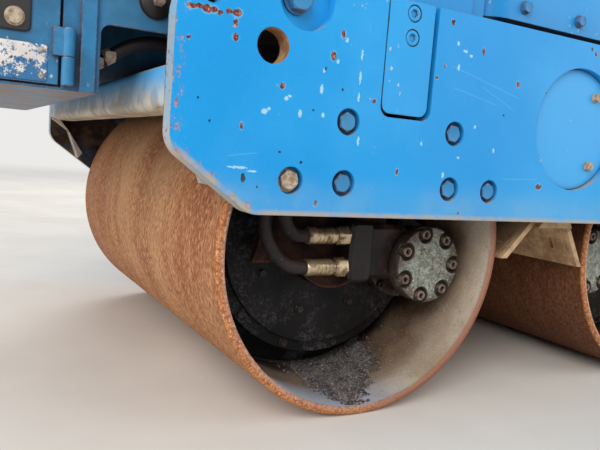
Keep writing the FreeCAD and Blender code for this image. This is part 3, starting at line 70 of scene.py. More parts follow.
# The frame's own places
AXLES = {name: middle(f"{name}_drum") for name in ("front", "rear")}
CENTRE = (AXLES["front"].x + AXLES["rear"].x) / 2
DRUM_LOW, DRUM_HIGH = box("front_drum")
DRUM_HALF = DRUM_HIGH.y
BORE_R = (DRUM_HIGH.z - DRUM_LOW.z) / 2 - 11
DISC_FACE = DRUM_HALF - 172
PLATE_LOW, PLATE_TOP = box("side_plate_left")
FACE = PLATE_TOP.y
PLATE_IN = PLATE_LOW.y
PLATE_END = PLATE_TOP.x - CENTRE
ARM_START = PLATE_IN - 101
BEAM_TOP = box("front_crossbeam")[1].z
ENDS = (("front", 1), ("rear", -1))
SIDES = (1, -1)

# Travel motors: distance from the middle and height of their axes, end covers
MOTOR_LOW, MOTOR_TOP = box("drive_motor_front")
MOTOR_OUT = MOTOR_LOW.x + 56 - CENTRE
MOTOR_HIGH = MOTOR_LOW.z + 53
COVER_R = 51
COVER_FACE = MOTOR_TOP.y - 24
COVER_START = COVER_FACE - 20


def at(x, y, z):
    """A place whose x is counted from the middle between the drums."""
    return Vector((CENTRE + x, y, z))


# Materials

class Tree:
    """A node tree; each method gives an output socket."""

    def __init__(self, tree):
        self.tree = tree
        tree.nodes.clear()

    def add(self, kind, feeds=(), out=0, **settings):
        """Add a node. Three numbers fed to a colour socket are sRGB."""
        node = self.tree.nodes.new(kind)
        for key, value in settings.items():
            setattr(node, key, value)
        for socket, feed in dict(feeds).items():
            target = node.inputs[socket]
            if isinstance(feed, bpy.types.NodeSocket):
                self.tree.links.new(feed, target)
            elif target.type == "RGBA" and len(feed) == 3:
                target.default_value = linear(*feed)
            else:
                target.default_value = feed
        return node.outputs[out] if node.outputs else None

    def math(self, operation, first, second=0.5, third=0.5):
        return self.add("ShaderNodeMath", {0: first, 1: second, 2: third}, operation=operation)

    def chain(self, operation, *values):
        total = values[0]
        for value in values[1:]:
            total = self.math(operation, total, value)
        return total

    most = partialmethod(chain, "MAXIMUM")
    least = partialmethod(chain, "MINIMUM")
    plus = partialmethod(chain, "ADD")
    minus = partialmethod(chain, "SUBTRACT")
    times = partialmethod(chain, "MULTIPLY")

    def seen(self):
        """1 for rays that show a thing itself, 0 for those that only light."""
        rays = self.add("ShaderNodeLightPath").node.outputs
        return self.most(rays["Is Camera Ray"], rays["Is Glossy Ray"], rays["Is Transmission Ray"])


class Finish(Tree):
    """One material; lengths in its methods are millimetres."""

    def __init__(self, name):
        self.material = bpy.data.materials.new(name)
        self.material.use_nodes = True
        super().__init__(self.material.node_tree)
        self.place = self.add("ShaderNodeTexCoord").node.outputs["Object"]
        self.normal = self.add("ShaderNodeNewGeometry").node.outputs["Normal"]
        self.x, self.y, self.z = (self.part(self.place, axis) for axis in range(3))
        self.upward = self.part(self.normal, 2)
        self.along = self.math("ABSOLUTE", self.minus(self.x, CENTRE * MM))
        self.side = self.math("ABSOLUTE", self.y)

    def vector(self, operation, first, second=(0, 0, 0), out=0):
        return self.add("ShaderNodeVectorMath", {0: first, 1: second}, out=out, operation=operation)

    def part(self, vector, axis):
        return self.add("ShaderNodeSeparateXYZ", {0: vector}, out=axis)

    def combine(self, x, y, z):
        return self.add("ShaderNodeCombineXYZ", {0: x, 1: y, 2: z})

    def stretch(self, x, y, z, place=None):
        return self.vector("MULTIPLY", place or self.place, (x, y, z))

    def from_line(self, along, high):
        """Distance from the two lines across the machine at a place and its mirror."""
        spot = self.combine(self.along, 0, self.z)
        return self.vector("DISTANCE", spot, (along * MM, 0, high * MM), out=1)

    def noise(self, scale, detail=3, place=None, rough=0.55, twist=0):
        feeds = {"Vector": place or self.place, "Scale": scale, "Detail": detail,
                 "Roughness": rough, "Distortion": twist}
        return self.add("ShaderNodeTexNoise", feeds)

    def cells(self, scale, place=None, out="Distance"):
        feeds = {"Vector": place or self.place, "Scale": scale}
        return self.add("ShaderNodeTexVoronoi", feeds).node.outputs[out]

    def band(self, value, low, high, first=0, last=1):
        """Smooth step from first to last while value runs from low to high."""
        feeds = {"Value": value, "From Min": low, "From Max": high, "To Min": first, "To Max": last}
        return self.add("ShaderNodeMapRange", feeds, interpolation_type="SMOOTHSTEP")

    def span(self, length, low, high, first=0, last=1):
        """A band of a length, with its limits in millimetres."""
        return self.band(length, low * MM, high * MM, first, last)

    def cloud(self, scale, detail, low, high, first=0, last=1, **how):
        """A band of noise."""
        return self.band(self.noise(scale, detail, **how), low, high, first, last)

    def uneven(self, length, scale, detail, amount):
        """A length made longer and shorter by noise."""
        change = self.times(self.minus(self.noise(scale, detail), 0.5), amount * MM)
        return self.plus(length, change)

    def mix(self, share, first, second):
        return self.add("ShaderNodeMix", {"Factor": share, 6: first, 7: second}, out=2, data_type="RGBA")

    def blend(self, share, first, second):
        return self.add("ShaderNodeMix", {"Factor": share, 2: first, 3: second})

    def coats(self, colour, *layers):
        """Lay masks with their strength and tone over a colour in turn."""
        for mask, strength, tone in layers:
            share = mask if strength == 1 else self.times(mask, strength)
            colour = self.mix(share, colour, tone)
        return colour

    def soft(self, radius):
        return self.add("ShaderNodeBevel", {"Radius": radius * MM}, samples=4)

    def edge(self, radius, low=0.02, high=0.25):
        """1 on outer and inner edges, 0 on open faces."""
        away = self.vector("DOT_PRODUCT", self.soft(radius), self.normal, out=1)
        return self.band(self.minus(1, away), low, high)

    def cavity(self, distance, low=0.4, high=0.8):
        """1 in corners, gaps and holes, 0 on open faces."""
        feeds = {"Distance": distance * MM}
        return self.band(self.add("ShaderNodeAmbientOcclusion", feeds, "AO", samples=6), low, high, 1, 0)

    def wobble(self, amount, scale):
        """The place moved about by noise, for ragged outlines."""
        feeds = {"Vector": self.place, "Scale": scale, "Detail": 3}
        colour = self.add("ShaderNodeTexNoise", feeds).node.outputs["Color"]
        moved = self.stretch(*(amount * MM,) * 3, self.vector("SUBTRACT", colour, (0.5, 0.5, 0.5)))
        return self.vector("ADD", self.place, moved)

    def bump(self, height, distance, strength, soft=0):
        """Relief, on edges rounded by the soft radius."""
        feeds = {"Height": height, "Distance": distance * MM, "Strength": strength}
        if soft:
            feeds["Normal"] = self.soft(soft)
        return self.add("ShaderNodeBump", feeds)

    def finish(self, colour, rough, normal, metal=0, shine=0.5, coat=0):
        feeds = {"Base Color": colour, "Roughness": rough, "Metallic": metal, "Normal": normal,
                 "Specular IOR Level": shine}
        if coat:
            feeds.update({"Coat Weight": coat, "Coat Roughness": 0.3})
        shader = self.add("ShaderNodeBsdfPrincipled", feeds)
        self.add("ShaderNodeOutputMaterial", {"Surface": shader})
        return self.material


BLUE, BLUE_DEEP, BLUE_PALE = (16, 160, 230), (8, 144, 218), (72, 172, 234)
BLUE_GREY, BLUE_DIM = (92, 132, 158), (40, 92, 126)
PRIMER = (196, 206, 214)
RUST, RUST_DARK, RUST_LIGHT = (146, 80, 62), (84, 44, 42), (194, 150, 124)
# The soil and grease tones also serve as painted shade on the plates' inner side and deep inside the drums.
DUST, SOIL_AND_SHADE, GREASE_AND_SHADE = (176, 160, 138), (46, 34, 28), (17, 16, 19)
BACKDROP = (236, 235, 233)

# Chips of the left plate: along from the middle, height, width, height
RUST_CHIPS = (
    (541, 433, 10, 7), (534, 434, 11, 6), (526, 433, 12, 9), (519, 433, 9, 7), (513, 431, 7, 5),
    (504, 434, 9, 6), (496, 434, 11, 9), (497, 424, 6, 10), (496, 412, 8, 9), (542, 405, 6, 5),
    (377, 433, 6, 10), (387, 410, 8, 11), (443, 373, 7, 8), (332, 370, 6, 6), (484, 330, 4, 8),
    (395, 258, 5, 8), (293, 296, 5, 8), (233, 469, 6, 10), (182, 444, 5, 11), (120, 413, 7, 9),
    (-16, 470, 5, 9), (64, 290, 12, 9), (249, 405, 5, 4), (67, 326, 5, 7), (68, 408, 5, 7),
    (196, 252, 6, 5), (238, 420, 4, 5), (420, 452, 7, 5), (-96, 352, 8, 10), (-180, 418, 7, 9),
    (-262, 300, 9, 7), (-355, 442, 6, 10), (-404, 318, 8, 9), (-470, 408, 9, 6), (-512, 352, 7, 9),
)
PALE_CHIPS = (
    (461, 346, 8, 7), (456, 349, 4, 5), (438, 361, 6, 5), (434, 364, 5, 3), (421, 348, 4, 9),
    (397, 394, 3, 5), (398, 375, 4, 12), (394, 349, 5, 6), (352, 416, 3, 14), (352, 392, 3, 16),
    (352, 372, 3, 12), (348, 326, 3, 12), (372, 428, 4, 6), (381, 405, 4, 5), (307, 405, 8, 13),
    (222, 447, 4, 6), (210, 440, 9, 4), (201, 436, 5, 4), (218, 421, 4, 8), (150, 330, 4, 6),
    (486, 290, 26, 2.5), (470, 287, 14, 2), (226, 296, 4, 8), (184, 356, 3, 5), (205, 318, 5, 4),
    (262, 330, 3, 6), (-60, 438, 6, 4), (-150, 372, 4, 9), (-300, 420, 5, 8), (-430, 452, 9, 4),
)
DARK_CHIPS = (
    (517, 332, 3, 3), (463, 272, 3, 3), (416, 299, 3, 3), (373, 377, 3, 3), (479, 280, 5, 9),
    (530, 352, 3, 3), (395, 396, 3, 5), (352, 340, 3, 4), (406, 353, 3, 3), (441, 308, 3, 3),
    (232, 470, 4, 4), (139, 374, 3, 3), (-8, 474, 4, 4), (-210, 340, 4, 4), (-372, 380, 3, 4),
)
CHIP_DEPTH = 6
# Long scratches: from and to, along from the middle and height
SCRATCHES = (
    (232, 422, 113, 396), (135, 297, 66, 299), (228, 398, 150, 384), (180, 404, 120, 380),
    (-40, 372, -150, 360), (-240, 434, -330, 404), (500, 300, 462, 306),
)


def chip_distance(f, place, table):
    """Least distance to the chips of a table, in chip sizes."""
    distances = []
    for x, z, wide, tall in table:
        away = f.vector("SUBTRACT", place, at(x, FACE, z) * MM)
        scaled = f.vector("MULTIPLY", away, Vector((2 / wide, 1 / CHIP_DEPTH, 2 / tall)) / MM)
        distances.append(f.vector("LENGTH", scaled, out=1))
    return f.least(*distances)


def loose_chips(f, place, scale, spread, rare):
    """Distance to chips in noise cells, and a mask of the few cells that have one."""
    chance = f.cells(scale, place, "Color")
    reach = f.math("MULTIPLY_ADD", f.part(chance, 1), spread, 0.03)
    return f.minus(f.cells(scale, place), reach), f.band(f.part(chance, 0), rare, rare + 0.02)


def scratch_mask(f, place):
    """1 on thin straight scratches of the plate's face."""
    masks = []
    for x0, z0, x1, z1 in SCRATCHES:
        way = Vector((x1 - x0, 0, z1 - z0))
        along = way.normalized()
        away = f.vector("SUBTRACT", place, at(x0, FACE, z0) * MM)
        run = f.vector("DOT_PRODUCT", away, along, out=1)
        beside = f.vector("DOT_PRODUCT", away, (-along.z, 0, along.x), out=1)
        masks.append(f.times(f.span(run, 0, 8), f.span(run, way.length - 8, way.length, 1, 0),
                             f.span(f.math("ABSOLUTE", beside), 0.2, 0.9, 1, 0),
                             f.span(f.math("ABSOLUTE", f.part(away, 1)), 2, 4, 1, 0)))
    return f.most(*masks)


def rust_tone(f):
    return f.coats(RUST_DARK, (f.cloud(420, 3, 0.4, 0.62), 1, RUST), (f.cloud(210, 3, 0.54, 0.68), 1, RUST_LIGHT))


def paint_tone(f):
    """Clean sky blue paint with faint clouds."""
    return f.coats(BLUE_DEEP, (f.cloud(2.4, 2, 0.36, 0.64), 1, BLUE),
                   (f.cloud(7, 4, 0.5, 0.78, rough=0.6), 0.3, BLUE_PALE),
                   (f.cloud(300, 2, 0.5, 0.75), 0.1, BLUE_PALE))


def finish_paint(f, colour, bare, dirt_and_shade):
    """Join paint, bare spots, and dirt with painted shade to one surface."""
    worn = f.most(bare, dirt_and_shade)
    height = f.plus(f.times(f.noise(160, 2), 0.35), f.times(f.noise(900, 1), 0.12))
    height = f.plus(f.minus(height, f.times(bare, 0.9)), f.times(worn, f.noise(700, 3), 0.6))
    return f.finish(colour, f.blend(worn, 0.46, 0.9), f.bump(height, 0.5, 0.6, 1.6), shine=0.28, coat=0.06)


def body_paint(name, tint=0.0, dusty=0.0, wear=0.5, dim=0.0, low=None, pale=0.0):
    """Sky blue machine paint: chips, pale flecks, dust, worn edges, and dirt with painted shade in corners.

    tint greys the paint, dusty adds dust on top faces, wear is how much of
    the edges shows rust, dim darkens it with old grime and, on the nose, with
    painted shade, low is a height under which mud covers it, pale fades it.
    """
    f = Finish(name)
    ragged = f.wobble(5, 260)
    colour = paint_tone(f)
    if tint:
        colour = f.mix(f.cloud(9, 4, 0.3, 0.7, tint * 0.6, min(1, tint * 1.3)), colour, BLUE_GREY)
    if dim:
        # Darker patches: old grime, and on the nose also painted shade.
        grime_and_shade = f.cloud(12, 5, 0.32, 0.66, dim * 0.5, min(1, dim * 1.4), rough=0.65)
        colour = f.mix(grime_and_shade, colour, BLUE_DIM)
    if pale:
        colour = f.mix(pale, colour, BLUE_PALE)
    flecks = f.times(f.band(f.cells(120, f.stretch(1, 1, 0.6, ragged)), 0.1, 0.18, 1, 0),
                     f.cloud(11, 2, 0.52, 0.68))
    away, chosen = loose_chips(f, ragged, 20, 0.07, 0.9)
    inner = f.times(f.band(away, 0, 0.015, 1, 0), chosen)
    outer = f.times(f.band(away, 0.015, 0.04, 1, 0), chosen, f.cloud(90, 2, 0.4, 0.6))
    edge = f.edge(2.2)
    edge_rust = f.times(edge, f.cloud(70, 4, 0.62 - wear * 0.3, 0.72 - wear * 0.3))
    edge_pale = f.times(edge, f.cloud(45, 3, 0.4, 0.6))
    settled = f.times(f.band(f.upward, 0.35, 0.95), 0.22 + dusty * 0.6, f.cloud(14, 4, 0.25, 0.6, 0.5, 1))
    # Dark brown in corners, gaps and recesses: dirt and painted shade.
    recess_shade_and_dirt = f.times(f.cavity(12), f.cloud(30, 4, 0.3, 0.6, 0.35, 0.8))
    below = f.times(f.band(f.upward, -0.9, -0.5, 1, 0), f.cloud(24, 4, 0.35, 0.6, 0.4, 1))
    rust = rust_tone(f)
    colour = f.coats(colour, (edge_pale, 0.5, BLUE_GREY), (flecks, 0.85, PRIMER), (outer, 0.7, PRIMER),
                     (inner, 1, rust), (edge_rust, 1, rust), (below, 0.8, (112, 84, 64)),
                     (recess_shade_and_dirt, 1, (66, 54, 48)), (settled, 1, DUST))
    dirt_and_shade = f.most(settled, recess_shade_and_dirt)
    if low is not None:
        level = f.uneven(f.z, 14, 3, 16)
        mud = f.times(f.span(level, low - 4, low + 36, 1, 0), f.cloud(110, 4, 0.3, 0.6, 0.7, 1))
        tone = f.mix(f.cloud(40, 4, 0.4, 0.62), (168, 146, 116), (204, 190, 164))
        colour = f.coats(colour, (mud, 0.92, tone))
        dirt_and_shade = f.most(dirt_and_shade, mud)
    return finish_paint(f, colour, f.most(inner, edge_rust), dirt_and_shade)


# The cut of the plates' lower corners, and the lashing holes' places
CUT_RUN, CUT_RISE = 85, 61
HOLE_OUT, HOLE_DOWN = 456, 72


def inside_outline(f):
    """How far a point lies within the side plates' front, cut and lower edges."""
    length = math.hypot(CUT_RUN, CUT_RISE)
    front = f.minus(PLATE_END * MM, f.along)
    down = f.minus(f.z, PLATE_LOW.z * MM)
    cut = f.plus(f.times(front, CUT_RISE / length), f.times(f.minus(down, CUT_RISE * MM), CUT_RUN / length))
    return front, cut, down


def plate_paint(name):
    """The side plates: clean blue faces, chips, worn front edge, inner side dark brown with dirt and painted shade.
    """
    f = Finish(name)
    ragged = f.wobble(4, 380)
    # Paler towards the plates' middle: dust film and painted sky reflection.
    dust_and_sheen_fade = f.times(f.span(f.along, 520, 60), f.cloud(5, 3, 0.3, 0.6, 0.25, 1))
    # Chips: the tables' on the left face, scattered ones elsewhere
    near = chip_distance(f, ragged, RUST_CHIPS)
    loose, chosen = loose_chips(f, ragged, 18, 0.06, 0.88)
    chosen = f.times(chosen, f.minus(1, f.span(f.y, 0, 10)))
    inner = f.most(f.band(near, 0.72, 0.86, 1, 0), f.times(f.band(loose, 0, 0.015, 1, 0), chosen))
    halo = f.times(f.band(near, 0.95, 1.3, 1, 0), f.cloud(120, 2, 0.42, 0.6))
    pale = f.band(chip_distance(f, f.wobble(4, 500), PALE_CHIPS), 0.7, 1.0, 1, 0)
    dark = f.band(chip_distance(f, ragged, DARK_CHIPS), 0.8, 1.1, 1, 0)
    fine = f.times(f.band(f.cells(95, f.stretch(1, 1, 0.7, ragged)), 0.06, 0.12, 1, 0),
                   f.cloud(9, 2, 0.5, 0.62), 0.7)
    colour = f.coats(paint_tone(f), (dust_and_sheen_fade, 0.25, BLUE_PALE), (fine, 0.6, PRIMER), (halo, 0.5, (132, 188, 220)),
                     (pale, 0.85, (170, 214, 238)), (inner, 1, rust_tone(f)), (dark, 1, (40, 34, 44)),
                     (scratch_mask(f, f.wobble(1.5, 60)), 0.25, (130, 196, 238)))
    # Edges: pale grey-blue front edge with rust specks beside it
    front, cut, down = inside_outline(f)
    rim = f.least(front, cut)
    specks = f.cloud(150, 5, 0.52, 0.6, place=f.stretch(1, 1, 0.5), rough=0.75)
    beside = f.times(f.span(rim, 6, 13, 1, 0), specks, 0.85)
    turned = f.band(f.math("ABSOLUTE", f.part(f.normal, 1)), 0.75, 0.45)
    worn = f.cloud(50, 5, 0.4, 0.62, place=f.stretch(1, 1, 0.4), rough=0.7)
    edge_tone = f.coats((132, 172, 200), (worn, 1, (170, 164, 152)), (f.cloud(190, 4, 0.6, 0.7), 1, RUST))
    low_band = f.times(f.span(down, 2, 7, 1, 0), f.cloud(60, 5, 0.3, 0.55, 0.45, 1))
    cut_band = f.times(f.span(cut, 3, 8, 1, 0), f.cloud(50, 5, 0.35, 0.6, 0.3, 1))
    veil = f.times(f.span(down, 8, 52, 1, 0), f.cloud(18, 5, 0.3, 0.7, 0.25, 0.75))
    # Holes, gaps and the inner side
    bores = f.times(f.span(f.from_line(HOLE_OUT, PLATE_TOP.z - HOLE_DOWN), 18.4, 19.2, 1, 0), turned)
    # Dark blue-grey in recesses, holes and gaps: painted shade.
    recess_shade_and_dirt = f.times(f.cavity(7, 0.28, 0.6), f.cloud(60, 4, 0.3, 0.6, 0.35, 0.9))
    # The inner side turns dark brown: dirt and painted shade.
    back = f.span(f.side, PLATE_IN + 2, PLATE_IN + 0.5)
    top = f.times(f.band(f.upward, 0.5, 0.95), f.cloud(16, 4, 0.3, 0.6, 0.35, 0.8))
    colour = f.coats(
        colour,
        (beside, 1, f.mix(f.cloud(260, 3, 0.42, 0.58), RUST, RUST_LIGHT)),
        (f.times(turned, f.span(rim, 4, 8, 1, 0)), 0.9, edge_tone),
        (veil, 0.42, (150, 182, 196)), (f.most(low_band, cut_band), 0.85, (178, 164, 142)),
        (bores, 1, f.mix(f.cloud(40, 4, 0.4, 0.6), (196, 160, 118), (150, 104, 74))),
        (recess_shade_and_dirt, 0.75, (48, 60, 76)),
        (f.times(back, f.cloud(8, 3, 0.2, 0.5, 0.75, 1)), 1,
         f.mix(f.cloud(22, 5, 0.42, 0.64, rough=0.7), SOIL_AND_SHADE, (96, 74, 58))),
        (top, 1, DUST))
    bare = f.times(f.most(inner, beside), f.span(f.side, FACE - 1.2, FACE - 0.4))
    return finish_paint(f, colour, bare, f.most(recess_shade_and_dirt, back, bores, top, f.times(low_band, 0.8)))


def drum_steel(name, axle, dark=0.0):
    """Drum: rust with rolling streaks outside, pale dusty shell and oily disc inside; the shell's warm and cool
    halves are painted light, and painted shade turns the shell brown and near black deeper in and darkens the disc.
    """
    f = Finish(name)
    flat = f.stretch(1, 0, 1, f.vector("SUBTRACT", f.place, (axle.x * MM, 0, axle.z * MM)))
    distance = f.vector("LENGTH", flat, out=1)
    away = f.vector("NORMALIZE", flat)
    ahead = f.part(away, 0)
    ring = f.stretch(0.2, 0, 0.2, away)
    lane = f.combine(f.part(ring, 0), f.y, f.part(ring, 2))
    wide = f.noise(16, 4, f.stretch(0.5, 1.3, 0.5, lane), 0.6)
    streak = f.noise(150, 4, f.stretch(0.1, 1, 0.1, lane), 0.7, 0.2)
    dash = f.noise(300, 2, f.stretch(0.5, 1, 0.5, lane), 0.6, 0.2)
    speck = f.noise(560, 3, f.stretch(0.6, 1, 0.6, lane), 0.7)
    polish = f.cloud(6, 3, 0.42, 0.66, place=f.stretch(0.5, 1.4, 0.5, lane))
    ends = f.times(f.span(f.side, DRUM_HALF - 330, DRUM_HALF - 60), f.band(dash, 0.3, 0.62, 1, 0.35))
    outside = f.coats(
        (150, 94, 62), (f.band(wide, 0.36, 0.64), 1, (184, 136, 96)),
        (f.band(streak, 0.48, 0.7), 0.4, (136, 78, 52)),
        (f.band(streak, 0.36, 0.48, 1, 0), 0.4, (190, 148, 108)),
        (f.band(dash, 0.54, 0.66), 0.75, (206, 164, 124)),
        (f.band(dash, 0.36, 0.46, 1, 0), 0.75, (112, 62, 44)),
        (f.band(speck, 0.58, 0.7), 0.4, (206, 162, 122)),
        (polish, 0.4, (198, 162, 122)), (ends, 0.62, (126, 68, 42)))
    # dark darkens the outside: on the rear drum this is painted shade.
    if dark:
        outside = f.mix(dark, outside, (66, 34, 24))
    inside = f.span(distance, BORE_R + 3, BORE_R + 6, 1, 0)
    depth = f.minus(DRUM_HALF * MM, f.side)
    # The shell is warm beige on its rear half and cool bluish grey elsewhere: painted tint of the light on each
    # side.
    warm = f.mix(f.cloud(12, 4, 0.36, 0.64), (168, 150, 128), (198, 184, 166))
    # Brown tone of the painted shade deeper in the shell.
    stain_and_shade_tone = f.mix(f.cloud(20, 4, 0.36, 0.64), (96, 72, 52), (128, 104, 82))
    spots = f.times(f.band(f.cells(46, f.wobble(5, 150)), 0.12, 0.2, 1, 0), f.cloud(5, 2, 0.5, 0.6))
    # Deeper inside, the shell turns brown and then near black: painted shade.
    shell = f.coats(
        (172, 178, 194), (f.cloud(10, 4, 0.36, 0.64), 1, (200, 204, 214)),
        (f.band(ahead, 0, -0.5), 1, warm),
        (f.span(f.uneven(depth, 9, 4, 50), 8, 92), 0.95, stain_and_shade_tone),
        (f.cloud(60, 5, 0.6, 0.72, rough=0.7), 0.4, (132, 98, 74)), (spots, 0.9, (70, 42, 26)),
        (f.cloud(420, 2, 0.58, 0.7), 0.3, (214, 208, 200)),
        (f.cloud(380, 2, 0.34, 0.42, 1, 0), 0.35, (96, 88, 86)),
        (f.span(f.uneven(depth, 16, 4, 100), 110, 170), 0.9, GREASE_AND_SHADE))
    wall = f.span(distance, BORE_R - 2, BORE_R - 4)
    # The disc near black: oil and painted shade.
    disc = f.mix(f.cloud(30, 5, 0.52, 0.75, rough=0.7), GREASE_AND_SHADE, (70, 68, 72))
    lip = f.times(f.span(depth, 0.5, 5, 1, 0), f.span(distance, BORE_R - 2, BORE_R))
    # The rim's pale yellow specks are painted highlights; its greyer brown rear half is a painted tint of light.
    lip_tone = f.coats((150, 86, 54), (f.cloud(200, 4, 0.42, 0.58, rough=0.7), 1, (192, 130, 84)),
                       (f.cloud(420, 2, 0.55, 0.65), 0.8, (226, 186, 132)),
                       (f.band(ahead, 0.1, -0.4), 1, (146, 96, 76)))
    colour = f.coats(outside, (inside, 1, f.mix(wall, shell, disc)), (lip, 0.85, lip_tone))
    rough = f.blend(f.times(inside, wall), f.band(wide, 0.3, 0.7, 0.62, 0.85), 0.5)
    height = f.plus(f.times(streak, 0.5), f.times(speck, 0.8))
    return f.finish(colour, rough, f.bump(height, 0.7, 0.8, 1.2), shine=0.14)


def stuck_dust(f, patch, grain, low, high, fine):
    """Dust that sticks to grease in patches, and the relief that it makes."""
    patches = f.noise(patch, 5, rough=0.7)
    grains = f.noise(grain, 4, rough=0.75)
    stuck = f.times(f.band(patches, low, high), f.band(grains, 0.44, fine))
    return stuck, f.plus(f.times(grains, stuck, 1.2), f.times(patches, 0.5))


def finish_grease(f, colour, dull, rough, height, shine):
    """Join grease and its dull places to one surface."""
    rough = f.blend(dull, f.cloud(22, 3, 0.35, 0.65, 0.34, 0.6), rough)
    return f.finish(colour, rough, f.bump(height, 0.9, 0.8, 1.4), shine=shine)


def oily_steel(name, rusty, dusty):
    """Dark greasy steel with grey dust stuck to it, rust where it is rubbed."""
    f = Finish(name)
    stuck, height = stuck_dust(f, 14, 260, 0.62 - dusty * 0.2, 0.72, 0.6)
    rub = f.most(f.edge(2.5), f.times(f.cloud(40, 4, 0.62 - rusty * 0.3, 0.75), 0.8 * rusty))
    colour = f.coats(GREASE_AND_SHADE, (f.cloud(9, 4, 0.4, 0.65), 1, (34, 28, 28)), (stuck, 0.85, (112, 108, 110)),
                     (f.times(rub, f.cloud(90, 4, 0.4, 0.6)), 0.35 + rusty * 0.6, (116, 76, 58)))
    return finish_grease(f, colour, stuck, 0.95, height, 0.35)


def carrier_steel(name):
    """Drum carriers: near black greasy case, rusty brown arm and spacers."""
    f = Finish(name)
    stuck, height = stuck_dust(f, 13, 280, 0.48, 0.64, 0.58)
    outside = f.span(f.side, ARM_START - 2, ARM_START)
    arm = f.coats((24, 17, 16), (f.cloud(24, 5, 0.4, 0.66, rough=0.7), 1, (70, 44, 34)),
                  (f.times(f.edge(5, 0.01, 0.14), f.cloud(50, 4, 0.3, 0.55)), 1, (136, 84, 58)))
    colour = f.coats((12, 12, 15), (f.cloud(9, 4, 0.4, 0.65), 1, (20, 17, 18)), (stuck, 0.7, (96, 92, 94)),
                     (outside, 1, arm))
    return finish_grease(f, colour, f.most(stuck, outside), 0.9, height, 0.2)


def motor_paint(name):
    """Travel motor: oily brown body, flaking grey-green end cover with painted shade on its walls and scallops,
    port block painted near black as shade.
    """
    f = Finish(name)
    away = f.from_line(MOTOR_OUT, MOTOR_HIGH)
    cover = f.times(f.span(f.y, COVER_START, COVER_START + 2), f.span(away, COVER_R + 0.5, COVER_R + 1.5, 1, 0))
    patches = f.noise(70, 5, rough=0.8)
    bare = f.most(f.band(patches, 0.55, 0.63), f.times(f.span(away, 30, 47), f.band(patches, 0.38, 0.52)))
    # Side walls and scallops of the cover, and its rear part, darkened: painted shade.
    cover_wall_shade = f.most(f.minus(1, f.band(f.part(f.normal, 1), 0.6, 0.9)),
                 f.span(f.y, COVER_START + 18, COVER_START + 14))
    green = f.coats((118, 124, 114), (f.cloud(150, 4, 0.42, 0.6, rough=0.8), 1, (164, 168, 154)),
                    (bare, 0.85, (96, 78, 70)), (f.cloud(300, 3, 0.58, 0.68), 0.8, (196, 194, 178)),
                    (f.cloud(260, 3, 0.34, 0.42, 1, 0), 0.7, (70, 62, 58)), (cover_wall_shade, 0.85, (52, 38, 34)))
    # The port block, furthest out, turns near black: painted shade.
    body = f.coats((26, 21, 22), (f.cloud(20, 5, 0.4, 0.66, rough=0.65), 1, (70, 50, 42)),
                   (f.cloud(110, 4, 0.56, 0.7), 0.6, (98, 84, 74)),
                   (f.span(f.along, MOTOR_OUT + 46, MOTOR_OUT + 78), 0.9, (10, 8, 9)))
    colour = f.coats(f.mix(cover, body, green),
                     (f.times(f.edge(2), f.cloud(80, 3, 0.35, 0.6)), 0.7, (110, 84, 68)))
    rough = f.blend(cover, 0.5, f.band(patches, 0.4, 0.65, 0.55, 0.85))
    height = f.plus(patches, f.times(f.noise(500, 2), 0.4))
    return f.finish(colour, rough, f.bump(height, 0.6, 0.7, 1.5), shine=0.35)


def hose_rubber(name):
    """Cloth-wrapped hydraulic hose cover with dust on its upper side."""
    f = Finish(name)
    wrap = f.noise(700, 2)
    top = f.times(f.band(f.upward, 0.1, 0.9), f.cloud(40, 4, 0.35, 0.65))
    colour = f.coats((24, 20, 21), (f.cloud(18, 4, 0.35, 0.65), 1, (46, 36, 34)), (top, 0.35, (104, 88, 78)),
                     (f.cloud(300, 3, 0.62, 0.72), 0.5, (112, 100, 90)))
    return f.finish(colour, f.band(wrap, 0.3, 0.7, 0.5, 0.75), f.bump(wrap, 0.3, 0.6), shine=0.35)


def plated_fitting(name):
    """Yellow passivated fittings with grime patches, and painted shade in their grooves."""
    f = Finish(name)
    grime = f.cloud(120, 4, 0.5, 0.68, rough=0.7)
    # Grooves darkened by the cavity mask: painted shade.
    colour = f.coats((206, 184, 150), (f.cloud(60, 3, 0.4, 0.65), 1, (158, 134, 108)), (grime, 0.75, (62, 50, 44)),
                     (f.cavity(2.5, 0.3, 0.8), 0.8, (44, 34, 30)))
    metal = f.minus(0.75, f.times(grime, 0.65))
    return f.finish(colour, f.blend(grime, 0.34, 0.75), f.bump(f.noise(240, 3), 0.25, 0.5), metal)


def dusty_steel(name, base, deep):
    """Bare steel with dried mud and light rust."""
    f = Finish(name)
    cloud = f.noise(30, 5, rough=0.7)
    colour = f.coats(deep, (f.band(cloud, 0.38, 0.62), 1, base), (f.cloud(180, 4, 0.55, 0.7), 0.8, (196, 180, 156)),
                     (f.times(f.edge(1.5), f.cloud(60, 3, 0.4, 0.6)), 0.6, RUST))
    return f.finish(colour, f.band(cloud, 0.3, 0.7, 0.6, 0.9), f.bump(f.noise(320, 4), 0.5, 0.8, 1), 0.15)


def stained_steel(name, cloud, high, first, second, spots, strength, stain_and_shade_tone, rough, grain, relief, metal):
    """Cloudy metal with stains: cast block and exhaust pipe.

    cloud, spots and grain hold a noise's scale and detail and more.
    """
    f = Finish(name)
    field = f.noise(*cloud)
    colour = f.coats(first, (f.band(field, *high), 1, second), (f.cloud(*spots), strength, stain_and_shade_tone))
    return f.finish(colour, f.band(field, 0.3, 0.7, *rough), f.bump(f.noise(*grain), *relief), metal)


